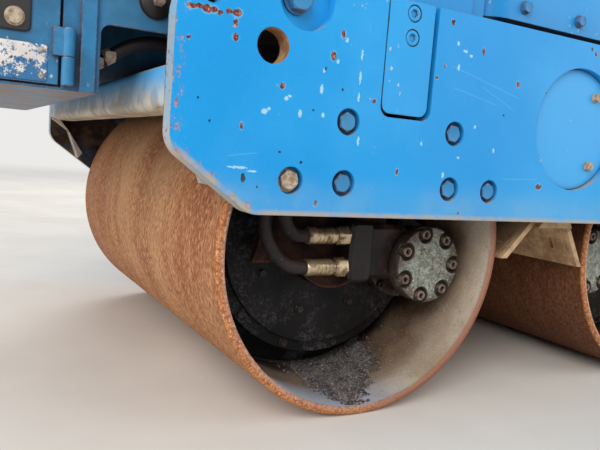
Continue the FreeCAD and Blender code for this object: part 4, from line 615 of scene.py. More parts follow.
def moulded(name, colour=(30, 30, 31), grain=900, rough=(0.42, 0.62), dust=0.3):
    """Grained black plastic or rubber with a little dust."""
    f = Finish(name)
    top = f.times(f.band(f.upward, 0.3, 1), f.cloud(36, 5, 0.4, 0.7), dust)
    shade = f.coats(colour, (f.cloud(20, 4, 0.3, 0.7), 1, tuple(c + 14 for c in colour)), (top, 1, DUST))
    return f.finish(shade, f.cloud(50, 3, 0.3, 0.7, *rough), f.bump(f.cells(grain), 0.2, 0.5, 1.5))


# The blank plate on the nose door: its lower rear and upper front corner
NAME_PLATE = (at(652, 313, 355.5), at(744, 313, 389))


def weathered_plate(name):
    """Blank white plate whose face peels off to blue at its lower right."""
    f = Finish(name)
    low, high = NAME_PLATE
    lean = f.plus(f.times(f.span(f.x, low.x, high.x, 1, 0), 0.16), f.times(f.span(f.z, low.z, high.z, 1, 0), 0.16))
    bits = f.plus(f.noise(120, 5, rough=0.8), lean)
    colour = f.coats((226, 222, 220), (f.cloud(40, 4, 0.35, 0.65), 1, (206, 200, 198)),
                     (f.band(bits, 0.7, 0.74), 1, (44, 108, 158)),
                     (f.times(f.cloud(300, 3, 0.6, 0.66), f.band(bits, 0.5, 0.6)), 1, (76, 54, 50)))
    return f.finish(colour, f.band(bits, 0.55, 0.7, 0.35, 0.7), f.bump(bits, 0.3, 0.6))


def gravel(name):
    """Dry grey and brown soil."""
    f = Finish(name)
    colour = f.coats((62, 58, 62), (f.cloud(60, 5, 0.38, 0.62, rough=0.75), 1, (112, 104, 102)),
                     (f.cloud(330, 3, 0.54, 0.64), 0.85, (170, 160, 154)))
    return f.finish(colour, 0.95, f.bump(f.noise(500, 4), 0.8, 1))


def bare_bolt(name, colour, rusty, metal=0.35):
    """Bolt steel: worn bright spots and rust in the corners."""
    f = Finish(name)
    cloud = f.noise(190, 4, rough=0.7)
    shade = f.coats(rusty, (f.band(cloud, 0.4, 0.6), 1, colour), (f.edge(1.2), 0.6, (188, 178, 164)))
    return f.finish(shade, f.band(cloud, 0.35, 0.65, 0.45, 0.75), f.bump(cloud, 0.3, 0.6), metal)


def floor_finish():
    """Pale floor that fades into the background far away."""
    f = Finish("floor")
    shade = f.mix(f.cloud(3, 4, 0.35, 0.65), (218, 214, 208), (226, 222, 216))
    matt = f.add("ShaderNodeBsdfDiffuse", {"Color": shade})
    glow = f.add("ShaderNodeEmission", {"Color": BACKDROP, "Strength": 1})
    far = f.band(f.vector("LENGTH", f.place, out=1), 2.2, 7)
    blend = f.add("ShaderNodeMixShader", {0: f.times(far, f.seen()), 1: matt, 2: glow})
    f.add("ShaderNodeOutputMaterial", {"Surface": blend})
    return f.material


FINISHES = {material.name: material for material in (
    plate_paint("plate_paint"),
    body_paint("cover_paint", pale=0.25, wear=0.35),
    body_paint("disc_paint", pale=0.75, wear=0.4),
    body_paint("bolt_paint", tint=0.35, wear=0.75, dim=0.3),
    body_paint("body_paint", tint=0.12, dusty=0.35),
    # The nose is greyed and darkened: dirt and painted shade.
    body_paint("nose_paint", tint=0.5, dusty=0.45, wear=0.9, dim=0.6),
    body_paint("beam_paint", tint=0.3, dusty=0.95, wear=0.6, low=BEAM_TOP - 36, pale=0.6),
    drum_steel("front_drum_steel", AXLES["front"]),
    # The rear drum's darker outside is painted shade.
    drum_steel("rear_drum_steel", AXLES["rear"], dark=0.7),
    carrier_steel("carrier_steel"),
    oily_steel("under_steel", rusty=0.2, dusty=0.6),
    oily_steel("greasy_steel", rusty=0.15, dusty=0.3),
    motor_paint("motor"),
    hose_rubber("hose"),
    plated_fitting("fitting"),
    dusty_steel("scraper", (206, 174, 134), (160, 126, 94)),
    stained_steel("block", (12, 5), (0.35, 0.65), (92, 92, 92), (126, 125, 122), (40, 4, 0.55, 0.7), 0.7,
                  (52, 46, 42), (0.4, 0.65), (420, 3), (0.4, 0.7), 0.3),
    stained_steel("exhaust", (26, 5, None, 0.7), (0.38, 0.6), (98, 74, 62), (132, 84, 58), (140, 4, 0.52, 0.7),
                  0.7, (70, 56, 52), (0.5, 0.8), (380, 4), (0.5, 0.8), 0.45),
    moulded("plastic"),
    moulded("rubber", (24, 23, 23), 500, (0.6, 0.8)),
    moulded("red_plastic", (168, 22, 20), 700, (0.3, 0.45), 0.15),
    moulded("green_plastic", (26, 110, 60), 700, (0.3, 0.45), 0.15),
    moulded("dark_glass", (14, 16, 18), 1200, (0.08, 0.16), 0.1),
    moulded("under_panel", (52, 54, 56), 600, (0.35, 0.5), 0.4),
    bare_bolt("bolt", (142, 126, 116), (84, 64, 54)),
    bare_bolt("pale_bolt", (186, 172, 152), (142, 118, 96), 0.15),
    gravel("gravel"),
    weathered_plate("weathered"),
)}

# The CAD nodes of each finish
FINISHED = {
    "plate_paint": "side_plate_left side_plate_right", "cover_paint": "slot_covers",
    "disc_paint": "exciter_covers", "beam_paint": "front_crossbeam rear_crossbeam",
    "under_steel": "exciter_housing deck hose_manifolds base_rails door_latch nose_pipe",
    "scraper": "scraper_carrier scraper_blades sprinkler_pipes drawbar_pin",
    "body_paint": "hinge_frame water_tank hood_shell hood_lid drawbar_bracket drawbar_frame",
    "nose_paint": "nose_box nose_door", "plastic": "tank_cap control_console",
    "rubber": "drawbar_buffers rubber_grips", "bolt": "control_levers", "block": "engine_block",
    "exhaust": "exhaust_pipe", "front_drum_steel": "front_drum", "rear_drum_steel": "rear_drum",
    "carrier_steel": "drive_carrier_front drive_carrier_rear idle_carrier_front idle_carrier_rear",
    "motor": "drive_motor_front drive_motor_rear", "fitting": "hose_fittings_front hose_fittings_rear",
    "hose": "motor_hoses_front motor_hoses_rear",
}
for finish, nodes in FINISHED.items():
    for node in nodes.split():
        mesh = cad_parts[node].data
        mesh.materials.clear()
        mesh.materials.append(FINISHES[finish])


# Meshes

def add_object(name, data, matrix=Matrix()):
    thing = bpy.data.objects.new(name, data)
    thing.matrix_world = matrix
    bpy.context.scene.collection.objects.link(thing)
    return thing


def turns(count, first=0):
    """Angles in equal steps round a circle; first is a share of a step."""
    return [2 * math.pi * (i + first) / count for i in range(count)]


def circle(radius, level, sides):
    return [(radius * math.cos(turn), radius * math.sin(turn), level) for turn in turns(sides)]


def pose(origin, axis, turn=0):
    """A matrix whose Z points along axis, turned about it by an angle."""
    z = Vector(axis).normalized()
    x = (UP if abs(z.z) < 0.9 else Vector((1, 0, 0))).cross(z).normalized()
    basis = Matrix((x, z.cross(x), z)).transposed().to_4x4()
    return Matrix.Translation(Vector(origin)) @ basis @ Matrix.Rotation(turn, 4, "Z")


class Shape:
    """Points and faces of one piece, made of closed lofts."""

    def __init__(self):
        self.points = []
        self.faces = []

    def loft(self, rings, matrix=Matrix(), caps=True):
        """Join rings of as many points each, with flat ends on request."""
        start = len(self.points)
        count = len(rings[0])
        for ring in rings:
            self.points += [matrix @ Vector(p) for p in ring]
        last = start + (len(rings) - 1) * count
        for a in range(start, last, count):
            b = a + count
            for i in range(count):
                j = (i + 1) % count
                self.faces.append((a + i, a + j, b + j, b + i))
        if caps:
            self.faces.append(tuple(start + i for i in reversed(range(count))))
            self.faces.append(tuple(last + i for i in range(count)))

    def turned(self, matrix, profile, sides):
        """A profile of (height, radius) turned about the matrix's own Z."""
        self.loft([circle(radius, height, sides) for height, radius in profile], matrix)

    def slab(self, matrix, width, height, radius, thick, edge=0.6):
        """A flat plate with round corners, lying on the matrix's plane."""
        self.loft([rounded(width, height, radius, 0), rounded(width, height, radius, thick - edge),
                   rounded(width - edge * 2, height - edge * 2, radius - edge, thick)], matrix)

    def make(self, name, body, finish, slot, angle=35):
        mesh = bpy.data.meshes.new(name)
        mesh.from_pydata([tuple(p * MM) for p in self.points], [], self.faces)
        mesh.validate()
        mesh.shade_smooth()
        mesh.set_sharp_from_angle(angle=math.radians(angle))
        mesh.materials.append(FINISHES[finish])
        piece = add_object(name, mesh)
        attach(piece, body)
        return piece


HEX_SIDES = 36


def hex_ring(across, height, limit=None, drop=0.0):
    """A hexagon's outline; limit cuts its corners, drop lowers them."""
    flat = across / 2
    ring = []
    for turn in turns(HEX_SIDES):
        part = (turn + math.pi / 6) % (math.pi / 3) - math.pi / 6
        radius = flat / math.cos(part)
        lowered = drop * max(0, radius - (limit or radius)) / flat
        if limit and not drop:
            radius = min(radius, limit)
        ring.append((radius * math.cos(turn), radius * math.sin(turn), height - lowered))
    return ring


def hex_head(shape, matrix, across, tall, washer=0.0, dish=0.0):
    """Hexagon head with its chamfer, on a washer."""
    if washer:
        shape.turned(matrix, ((0, across * 0.66), (washer * 0.8, across * 0.66), (washer, across * 0.63)), 32)
    top = washer + tall
    flat = across / 2
    limit = flat * 0.96
    shape.loft([hex_ring(across, washer), hex_ring(across, top - tall * 0.06, limit, drop=flat * 0.55),
                circle(limit, top, HEX_SIDES), circle(limit * 0.8, top - dish, HEX_SIDES)], matrix)


def socket_head(shape, matrix, diameter, tall, key):
    """Round screw head with a hexagon socket."""
    radius = diameter / 2
    profile = ((0, radius), (tall - 1, radius), (tall - 0.3, radius - 0.4), (tall, radius - 1), (tall, key * 0.64))
    rings = [circle(r, height, HEX_SIDES) for height, r in profile]
    shape.loft(rings + [hex_ring(key, tall - 0.8), hex_ring(key, tall * 0.35)], matrix)


def rounded(width, height, radius, level, steps=4):
    """A rectangle with round corners as a ring of points."""
    ring = []
    for cx, cy, start in ((1, 1, 0), (-1, 1, 1), (-1, -1, 2), (1, -1, 3)):
        for i in range(steps + 1):
            turn = math.pi / 2 * (start + i / steps)
            ring.append((cx * (width / 2 - radius) + radius * math.cos(turn),
                         cy * (height / 2 - radius) + radius * math.sin(turn), level))
    return ring


def bead(shape, start, end, size, seed):
    """A weld bead: an uneven rounded strip from start to end."""
    rng = random.Random(seed)
    way = end - start
    rings = []
    steps = max(6, int(way.length / 3.5))
    for i in range(steps + 1):
        share = i / steps
        taper = min(1, 6 * share, 6 * (1 - share)) ** 0.5 if 0 < share < 1 else 0.2
        radius = size * taper * (1 + 0.16 * math.sin(i * 2.1) + 0.1 * (rng.random() - 0.5))
        rings.append(circle(radius, way.length * share, 10))
    shape.loft(rings, pose(start, way))


def ring_bead(shape, matrix, radius, size, seed):
    """A weld bead round a circle about the matrix's own Z."""
    rng = random.Random(seed)
    rings = []
    for i, turn in enumerate(turns(max(24, int(2 * math.pi * radius / 5)))):
        thick = size * (1 + 0.15 * math.sin(i * 2.3) + 0.16 * (rng.random() - 0.5))
        rings.append([((radius + x) * math.cos(turn), (radius + x) * math.sin(turn), y)
                      for x, y, level in circle(thick, 0, 8)])
    shape.loft(rings + rings[:1], matrix, False)


# Camera as the photograph was taken: 600 pixels wide
IMAGE_WIDE = 600
FOCAL_PIXELS = 642.51
SENSOR = 36
CAMERA_PLACE = at(735.45, 961.18, 304.53)
CAMERA_YAW = math.radians(-119.38)
CAMERA_PITCH = math.radians(-6.03)
CAMERA_ROLL = math.radians(4.45)


def make_camera():
    flat = math.cos(CAMERA_PITCH)
    ahead = Vector((flat * math.cos(CAMERA_YAW), flat * math.sin(CAMERA_YAW), math.sin(CAMERA_PITCH)))
    right = ahead.cross(UP).normalized()
    up = right.cross(ahead)
    level_right = math.cos(CAMERA_ROLL) * right + math.sin(CAMERA_ROLL) * up
    level_up = -math.sin(CAMERA_ROLL) * right + math.cos(CAMERA_ROLL) * up
    data = bpy.data.cameras.new("camera")
    data.sensor_fit = "HORIZONTAL"
    data.sensor_width = SENSOR
    data.lens = FOCAL_PIXELS * SENSOR / IMAGE_WIDE
    data.clip_start = 0.01
    data.clip_end = 60
    basis = Matrix((level_right, level_up, -ahead)).transposed().to_4x4()
    bpy.context.scene.camera = add_object("camera", data, Matrix.Translation(CAMERA_PLACE * MM) @ basis)


def make_lamp(name, place, aim, size, power, tone=(1, 1, 1)):
    """A round lamp; size is in metres."""
    data = bpy.data.lights.new(name, "AREA")
    data.shape = "DISK"
    data.size = size
    data.energy = power
    data.color = tone
    turn = (aim - place).to_track_quat("-Z", "Y").to_matrix().to_4x4()
    add_object(name, data, Matrix.Translation(place * MM) @ turn)


def make_stage():
    mesh = bpy.data.meshes.new("floor")
    half = 20
    mesh.from_pydata([(-half, -half, 0), (half, -half, 0), (half, half, 0), (-half, half, 0)], [], [(0, 1, 2, 3)])
    mesh.materials.append(floor_finish())
    floor = add_object("floor", mesh)
    aim = at(0, 0, 400)
    make_lamp("key", at(2600, 2900, 2600), aim, 2.4, 95, (1, 0.98, 0.95))
    make_lamp("fill", at(-2800, 2200, 1600), aim, 2.6, 34, (0.95, 0.98, 1))
    make_lamp("front", at(3400, 500, 1000), at(300, 100, 250), 2.0, 38, (1, 0.98, 0.95))
    make_lamp("back", at(-600, -3400, 2800), aim, 2.6, 70)
    world = bpy.data.worlds.new("studio")
    bpy.context.scene.world = world
    world.use_nodes = True
    tree = Tree(world.node_tree)
    light = tree.add("ShaderNodeBackground", {"Color": (255, 255, 255), "Strength": 0.55})
    shown = tree.add("ShaderNodeBackground", {"Color": BACKDROP, "Strength": 1})
    blend = tree.add("ShaderNodeMixShader", {0: tree.seen(), 1: light, 2: shown})
    tree.add("ShaderNodeOutputWorld", {"Surface": blend})
    bpy.context.scene.view_settings.view_transform = "Standard"


# Carrier bolts round an axle: along and up from it, in bore radii
CARRIER_BOLTS = ((0.73, 0.423), (0.3915, 0.423), (0.3915, 0.767))
RECESS_DEPTH = 9
# The one bolt without paint is the outermost at the front left
BARE_FROM = 0.7


def make_plate_bolts():
    """Painted hexagon bolts in the plates' recesses, one of them bare."""
    painted, bare = Shape(), Shape()
    rng = random.Random(4)
    for side in SIDES:
        for name, end in ENDS:
            for along, up in CARRIER_BOLTS:
                for lean in SIDES:
                    spot = (AXLES[name].x + BORE_R * along * lean * end, (FACE - RECESS_DEPTH) * side,
                            AXLES[name].z + BORE_R * up)
                    is_bare = side == end == lean == 1 and along > BARE_FROM
                    hex_head(bare if is_bare else painted, pose(spot, (0, side, 0), rng.uniform(0, 1)),
                             18.5, 6.2, 1.6, 0.6)
    painted.make("plate_bolts", "frame", "bolt_paint", "blue_paint")
    bare.make("bare_plate_bolt", "frame", "pale_bolt", "dusty_steel")


def make_frame_bolts():
    """Large bolts in the round pockets, screws of the slot covers, bolts of the round covers."""
    pockets, screws, worn = Shape(), Shape(), Shape()
    rng = random.Random(9)
    high = PLATE_TOP.z
    for side in SIDES:
        out = (0, side, 0)
        for end in SIDES:
            spot = at((PLATE_END - 128) * end, (FACE - 14) * side, high - 21)
            hex_head(pockets, pose(spot, out, rng.uniform(0, 1)), 24, 9.5, 3.4, 0.8)
            for drop in (13, 39):
                spot = at(288 * end, (FACE - 4) * side, high - drop)
                socket_head(screws, pose(spot, out, rng.uniform(0, 1)), 17, 4, 8)
        for up in SIDES:
            spot = at(-36, (FACE - 8) * side, middle("exciter_covers").z + 46 * up)
            hex_head(worn, pose(spot, out, up), 10, 5.4, 1.2)
    pockets.make("pocket_bolts", "frame", "bolt_paint", "blue_paint")
    screws.make("slot_cover_screws", "frame", "cover_paint", "blue_paint")
    worn.make("round_cover_bolts", "frame", "pale_bolt", "dusty_steel")


# Motor cover bolts: how many, the first one's share of a step, their circle
MOTOR_BOLTS = 7
FIRST_BOLT = 0.255
BOLT_CIRCLE = 42
FLANGE_FACE = 252
# Drive case bolts: how many, first one's share, circle, depth of the face
CASE_BOLTS = ((12, 0.4, 150, 226), (8, 0.617, 100, 234))
# Case bolts nearer to the motor's axis than this would be inside it
MOTOR_ROOM = 68


def around(x, y, z, radius, turn):
    """A place on a circle about a line across the machine."""
    return Vector((x + radius * math.sin(turn), y, z + radius * math.cos(turn)))


def make_motor_bolts():
    """Socket heads of the motors' covers and flanges, bolts of the drive cases."""
    for name, end in ENDS:
        heads, case = Shape(), Shape()
        x = CENTRE + MOTOR_OUT * end
        for i, turn in enumerate(turns(MOTOR_BOLTS, FIRST_BOLT)):
            spot = around(x, COVER_START + 10, MOTOR_HIGH, BOLT_CIRCLE, turn)
            socket_head(heads, pose(spot, LEFT, i * 0.7), 13, 12, 6.4)
        for i, turn in enumerate(turns(6, 0.25)):
            spot = around(x, FLANGE_FACE, MOTOR_HIGH, 51, turn)
            socket_head(case, pose(spot, LEFT, i * 0.9), 9, 7, 5)
        for count, first, radius, face in CASE_BOLTS:
            for i, turn in enumerate(turns(count, first)):
                spot = around(AXLES[name].x, face, AXLES[name].z, radius, turn)
                if math.hypot(spot.x - x, spot.z - MOTOR_HIGH) > MOTOR_ROOM:
                    hex_head(case, pose(spot, LEFT, i * 0.5), 9, 4, 1, 0.4)
        heads.make(f"motor_cover_bolts_{name}", "frame", "bolt", "oily_steel")
        case.make(f"drive_case_bolts_{name}", "frame", "greasy_steel", "oily_steel")


def scallops(radius, notch, height):
    """The motor cover's outline with its bolt scallops, as a ring of points."""
    pitch = BOLT_CIRCLE
    lean = math.acos((pitch ** 2 + radius ** 2 - notch ** 2) / (2 * pitch * radius))
    open_turn = math.atan2(radius * math.sin(lean), radius * math.cos(lean) - pitch)
    step = 2 * math.pi / MOTOR_BOLTS
    ring = []
    for middle_turn in turns(MOTOR_BOLTS, FIRST_BOLT):
        outward = Vector((math.sin(middle_turn), math.cos(middle_turn)))
        onward = Vector((math.cos(middle_turn), -math.sin(middle_turn)))
        for i in range(15):
            turn = -open_turn - (2 * math.pi - 2 * open_turn) * i / 14
            p = outward * (pitch + notch * math.cos(turn)) + onward * notch * math.sin(turn)
            ring.append((-p.x, p.y, height))
        for i in range(1, 8):
            turn = middle_turn + lean + (step - 2 * lean) * i / 8
            ring.append((-radius * math.sin(turn), radius * math.cos(turn), height))
    return ring


def make_motors():
    """Travel motors: flange, barrel, scalloped end cover and port block."""
    high = COVER_START
    barrel = ((MOTOR_LOW.y - 1, 56), (FLANGE_FACE - 1.5, 56), (FLANGE_FACE, 54.5), (FLANGE_FACE, 47),
              (FLANGE_FACE + 2, 45), (high - 3, 45), (high - 2, 46), (high - 1, 50), (high, COVER_R),
              (high + 10, COVER_R))
    for name, end in ENDS:
        shape = Shape()
        axis = pose(at(MOTOR_OUT * end, 0, MOTOR_HIGH), LEFT)
        shape.turned(axis, barrel, 72)
        shape.loft([scallops(COVER_R - inset, 11.2 + inset * 0.5, COVER_FACE - back)
                    for back, inset in ((10, 0), (2.6, 0), (1, 0.8), (0, 2.6))], axis)
        # Port block: a root beside the barrel and the block that the hoses screw into
        shape.slab(pose(at((MOTOR_OUT + 60) * end, 246, MOTOR_HIGH + 14), LEFT), 86, 72, 12, 42, 6)
        shape.slab(pose(at(279 * end, 282, MOTOR_LOW.z + 71), LEFT), 34, 76, 8, 31, 4)
        piece = shape.make(f"travel_motor_{name}", "frame", "motor", "motor_paint", 40)
        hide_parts(f"drive_motor_{name}")


# Hose fitting along its axis from the port face: distance and radius
FITTING = [(13.2, 11), (14, 9.8), (15.6, 9.8), (16, 8.2), (19.4, 8.2), (20, 9.6), (20.8, 10.4), (25.6, 10.4),
           (26.2, 9.5), (28.6, 9.5)]
for start in (29.2, 34.8, 40.4):
    FITTING += [(start, 10.3), (start + 2, 10.3), (start + 2.6, 9.4), (start + 5, 9.4)]
FITTING += [(46, 10.4), (55.8, 10.4), (56.8, 9.8), (57, 8.1)]


def make_fittings():
    """Hose nuts and crimped ferrules with their bands."""
    for name, end in ENDS:
        shape = Shape()
        for height, turn in ((173, 0.3), (212, 0.8)):
            matrix = pose(at(296 * end, 300, height), (end, 0, 0), turn)
            shape.loft([hex_ring(22, 0), hex_ring(22, 1.2, 12.2), hex_ring(22, 11.6, 12.2),
                        circle(11, 13.2, HEX_SIDES)], matrix)
            shape.turned(matrix, FITTING, 40)
        piece = shape.make(f"crimped_fittings_{name}", "frame", "fitting", "plated_fitting", 28)
        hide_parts(f"hose_fittings_{name}")


# Soil in the front drum's left end, from its tip inwards: distance from the
# machine's middle, degrees from the drum's lowest line at both sides
SOIL_PATCH = ((345, -1, 5), (326, -5, 6), (300, -13, 7), (273, -21, 7), (245, -27, 7), (215, -32, 6),
              (180, -34, 4), (150, -30, 2), (140, -20, -6))
SOIL_FROM, SOIL_LONG = 140, 205
STONES = 1500


def on_shell(degrees, y, lift):
    """A place over the inner face of the front drum's shell."""
    turn = math.radians(degrees)
    reach = BORE_R - lift
    return Vector((AXLES["front"].x + reach * math.sin(turn), y, AXLES["front"].z - reach * math.cos(turn)))


def patch(share, lean):
    """A point of the soil: share runs outwards, lean from -1 to 1 across it."""
    y = SOIL_FROM + SOIL_LONG * share
    after = max(i for i in range(len(SOIL_PATCH)) if SOIL_PATCH[i][0] >= y)
    a, b = SOIL_PATCH[after], SOIL_PATCH[min(after + 1, len(SOIL_PATCH) - 1)]
    part = (a[0] - y) / (a[0] - b[0]) if a[0] > b[0] else 0
    left, right = (a[k] + (b[k] - a[k]) * part for k in (1, 2))
    ragged = 1.6 * math.sin(y * 0.31 + lean) + 1.2 * math.sin(y * 0.83 + 2 * lean)
    return (left + right) / 2 + (right - left) / 2 * lean + ragged * abs(lean), y


def make_gravel():
    """Soil and small stones that lie in the front drum's open end."""
    rng = random.Random(21)
    soil, stones = Shape(), Shape()
    rows, columns = 30, 26
    layers = []
    for upper in (True, False):
        layers.append([])
        for r in range(rows + 1):
            ring = []
            for c in range(columns + 1):
                share, lean = r / rows, 2 * c / columns - 1
                rim = min(1, 5 * (1 - abs(lean)), 8 * (1 - share), 8 * share + 0.2)
                lift = (1.2 + 2.6 * rng.random() * rng.random()) * max(0, rim) ** 0.7
                ring.append(on_shell(*patch(share, lean), lift - 0.4 if upper else -0.8))
            layers[-1].append(ring)
    soil.loft([above + under[::-1] for above, under in zip(*layers)])
    for i in range(STONES):
        share = min(1, rng.random() ** 0.8)
        lean = rng.uniform(-1, 1) * (1 + 0.5 * rng.random() ** 2)
        degrees, y = patch(share, lean)
        size = 1.8 + 3.6 * rng.random() ** 3
        add_stone(stones, on_shell(degrees, min(y, SOIL_PATCH[0][0]), size * 0.35), size, rng)
    soil.make("drum_soil", "front_drum", "gravel", "dusty_steel", 60)
    stones.make("drum_stones", "front_drum", "gravel", "dusty_steel", 10)


def add_stone(shape, place, size, rng):
    """A small angular stone: a bent hexagonal barrel."""
    matrix = pose(place, (rng.uniform(-1, 1), rng.uniform(-1, 1), rng.uniform(0.2, 1)), rng.uniform(0, 6))
    rings = []
    for height, wide in ((-0.42, 0.45), (-0.1, 1.0), (0.2, 0.9), (0.42, 0.4)):
        ring = []
        for turn in turns(6):
            reach = size * 0.5 * wide * rng.uniform(0.75, 1.15)
            ring.append((reach * math.cos(turn), reach * math.sin(turn), size * height))
        rings.append(ring)
    shape.loft(rings, matrix)


def prism(shape, outline, start, stop):
    """An outline of x and z run across the machine."""
    area = sum(a[0] * b[1] - b[0] * a[1] for a, b in zip(outline, outline[1:] + outline[:1]))
    ring = outline if area < 0 else outline[::-1]
    shape.loft([[(-x, z, y) for x, z in ring] for y in (start, stop)], pose(at(0, 0, 0), LEFT))


def round_corner(before, corner, after, radius, steps=8):
    """Points of the arc that rounds a corner."""
    corner = Vector(corner)
    back = (Vector(before) - corner).normalized()
    on = (Vector(after) - corner).normalized()
    half = back.angle(on) / 2
    centre = corner + (back + on).normalized() * radius / math.sin(half)
    first, last = (way * radius / math.tan(half) + corner - centre for way in (back, on))
    return [tuple(centre + first.slerp(last, i / steps)) for i in range(steps + 1)]


# Slanted scraper blades: end, upper edge, thickness along, lower edge's height
BLADES = ((1, 18, 11, 191), (-1, 36, 9, 177))
BLADE_HEAD = 256
BLADE_EDGE = 82
BLADE_HALF = 353
SLOT_HEIGHTS = (214.5, 199.5)
SLOT_HALF = 2.5
SLOT_PLACES = [BLADE_HALF * share + 13 * lean for share in (-0.935, -0.31, 0.31, 0.935) for lean in (-1, 1)]
BAR_OUTLINE = [(7, 272), (-27, 272), (-27, 256), (-39.8, 234), (28.7, 234), (7, 256)]
BAR_HALF = 363


def slotted_blade(shape, end, head, thick, low):
    """A slanted blade with its adjusting slots cut through."""
    levels = (BLADE_HEAD, *SLOT_HEIGHTS, low)
    across = [-BLADE_HALF] + [p + half for p in SLOT_PLACES for half in (-SLOT_HALF, SLOT_HALF)] + [BLADE_HALF]
    base = len(shape.points)
    for layer in (0, 1):
        for z in levels:
            share = (BLADE_HEAD - z) / (BLADE_HEAD - low)
            x = head + (BLADE_EDGE - head) * share - thick * layer
            shape.points += [at(x * end, y, z) for y in across]
    columns = len(across)

    def point(layer, row, column):
        return base + (layer * len(levels) + row) * columns + column

    def solid(row, column):
        inside = 0 <= row < len(levels) - 1 and 0 <= column < columns - 1
        return inside and not (row == 1 and column % 2 == 1)

    for r in range(len(levels) - 1):
        for c in range(columns - 1):
            if not solid(r, c):
                continue
            square = ((r, c), (r + 1, c), (r + 1, c + 1), (r, c + 1))
            faces = [[point(0, *k) for k in square], [point(1, *k) for k in reversed(square)]]
            for k, beside in enumerate(((r, c - 1), (r + 1, c), (r, c + 1), (r - 1, c))):
                if not solid(*beside):
                    a, b = square[k], square[(k + 1) % 4]
                    faces.append([point(0, *b), point(0, *a), point(1, *a), point(1, *b)])
            shape.faces += [tuple(face[::end]) for face in faces]


def make_scrapers():
    """Slotted scraper blades on their bar between the drums."""
    blades, bar = Shape(), Shape()
    for blade in BLADES:
        slotted_blade(blades, *blade)
    piece = blades.make("slotted_blades", "frame", "scraper", "rusty_steel")
    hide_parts("scraper_blades")
    prism(bar, BAR_OUTLINE, -BAR_HALF, BAR_HALF)
    piece = bar.make("scraper_bar", "frame", "scraper", "rusty_steel")
    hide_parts("scraper_carrier")


def make_beam_legs():
    """Bent legs under the crossbeams' ends."""
    shape = Shape()
    tip, back = (506.25, 270), (499.25, 279.75)
    outline = [(554.6, 341)] + round_corner((554.6, 341), (554.6, 305), tip, 30) + [tip, back]
    outline += round_corner(back, (543, 311.2), (543, 341), 18) + [(543, 341)]
    for end in SIDES:
        for side in SIDES:
            prism(shape, [(x * end, z) for x, z in outline], *sorted((335 * side, 363.2 * side)))
    shape.make("crossbeam_legs", "frame", "beam_paint", "blue_paint")


def make_nose_parts():
    """Blank weathered plate, latch bolt and handle, hose clamps, domed bolt."""
    plate, rivets, latch, clamps, dome, nut = (Shape() for _ in range(6))
    low, high = NAME_PLATE
    mid, half = (low + high) / 2, (high - low) / 2
    plate.slab(pose(mid, LEFT), half.x * 2, half.z * 2, 3, 1, 0.3)
    plate.make("blank_plate", "nose_door", "weathered", "grey_block")
    for sx in SIDES:
        for sz in SIDES:
            spot = mid + Vector(((half.x - 5) * sx, 0.8, (half.z - 5) * sz))
            rivets.turned(pose(spot, LEFT), ((0, 2.6), (0.8, 2.4), (1.4, 1.2)), 16)
    latch.slab(pose(at(692, 312.6, 418), LEFT), 50, 40, 5, 3.4, 1.2)
    latch.slab(pose(at(705, 316, 418), LEFT), 18, 26, 4, 4, 1.2)
    piece = latch.make("latch_plate", "nose_door", "plastic", "black_plastic")
    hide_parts("door_latch")
    hex_head(rivets, pose(at(681, 315.8, 410), LEFT, 0.3), 13, 3.4, 1, 0.5)
    rivets.make("door_bolt_and_rivets", "nose_door", "pale_bolt", "dusty_steel")
    pipe_low, pipe_high = box("nose_pipe")
    rear_end = at(556, 278, pipe_high.z - 7)
    way = at(620, 264, pipe_low.z + 7) - rear_end
    for share in (0.5, 0.68):
        spot = rear_end + way * share
        clamps.turned(pose(spot, way), ((-4.5, 7.1), (-4.5, 8), (4.5, 8), (4.5, 7.1)), 36)
        clamps.slab(pose(spot + LEFT * 8.5, LEFT), 11, 8, 1.5, 4.5)
    clamps.make("hose_clamps", "frame", "pale_bolt", "dusty_steel")
    base = at(552, 310, 446)
    dome.turned(pose(base, LEFT), ((0, 17), (2, 17), (5, 15), (7.5, 11), (8.5, 6)), 40)
    dome.make("domed_washer", "frame", "under_steel", "oily_steel")
    hex_head(nut, pose(base + LEFT * 8.2, LEFT, 0.4), 11, 5)
    nut.make("domed_washer_bolt", "frame", "bolt", "dusty_steel")


def make_welds():
    """Weld beads of the drums' discs, crossbeams and drawbar."""
    for name, end in ENDS:
        rings = Shape()
        for side in SIDES:
            spot = (AXLES[name].x, DISC_FACE * side, AXLES[name].z)
            ring_bead(rings, pose(spot, LEFT), BORE_R, 4.5, 3 + side)
        rings.make(f"disc_weld_{name}", f"{name}_drum", f"{name}_drum_steel", "rusty_steel", 60)
    beads, joints = Shape(), Shape()
    for end in SIDES:
        for side in SIDES:
            start, stop = (at((PLATE_END - back) * end, (PLATE_IN - 0.6) * side, BEAM_TOP) for back in (40, 4))
            bead(beads, start, stop, 2.6, 5 + side + end)
    beads.make("crossbeam_welds", "frame", "beam_paint", "blue_paint", 60)
    way = Vector((-398, 0, 597)).normalized()
    for side in SIDES:
        ring_bead(joints, pose(at(-612, 130 * side, 388) + way * 17, way), 19.4, 2.4, 40 + side)
        ring_bead(joints, pose(at(-1543, 130 * side, 985), (1, 0, 0)), 19.2, 2.2, 50 + side)
    joints.make("drawbar_welds", "drawbar", "body_paint", "blue_paint", 60)


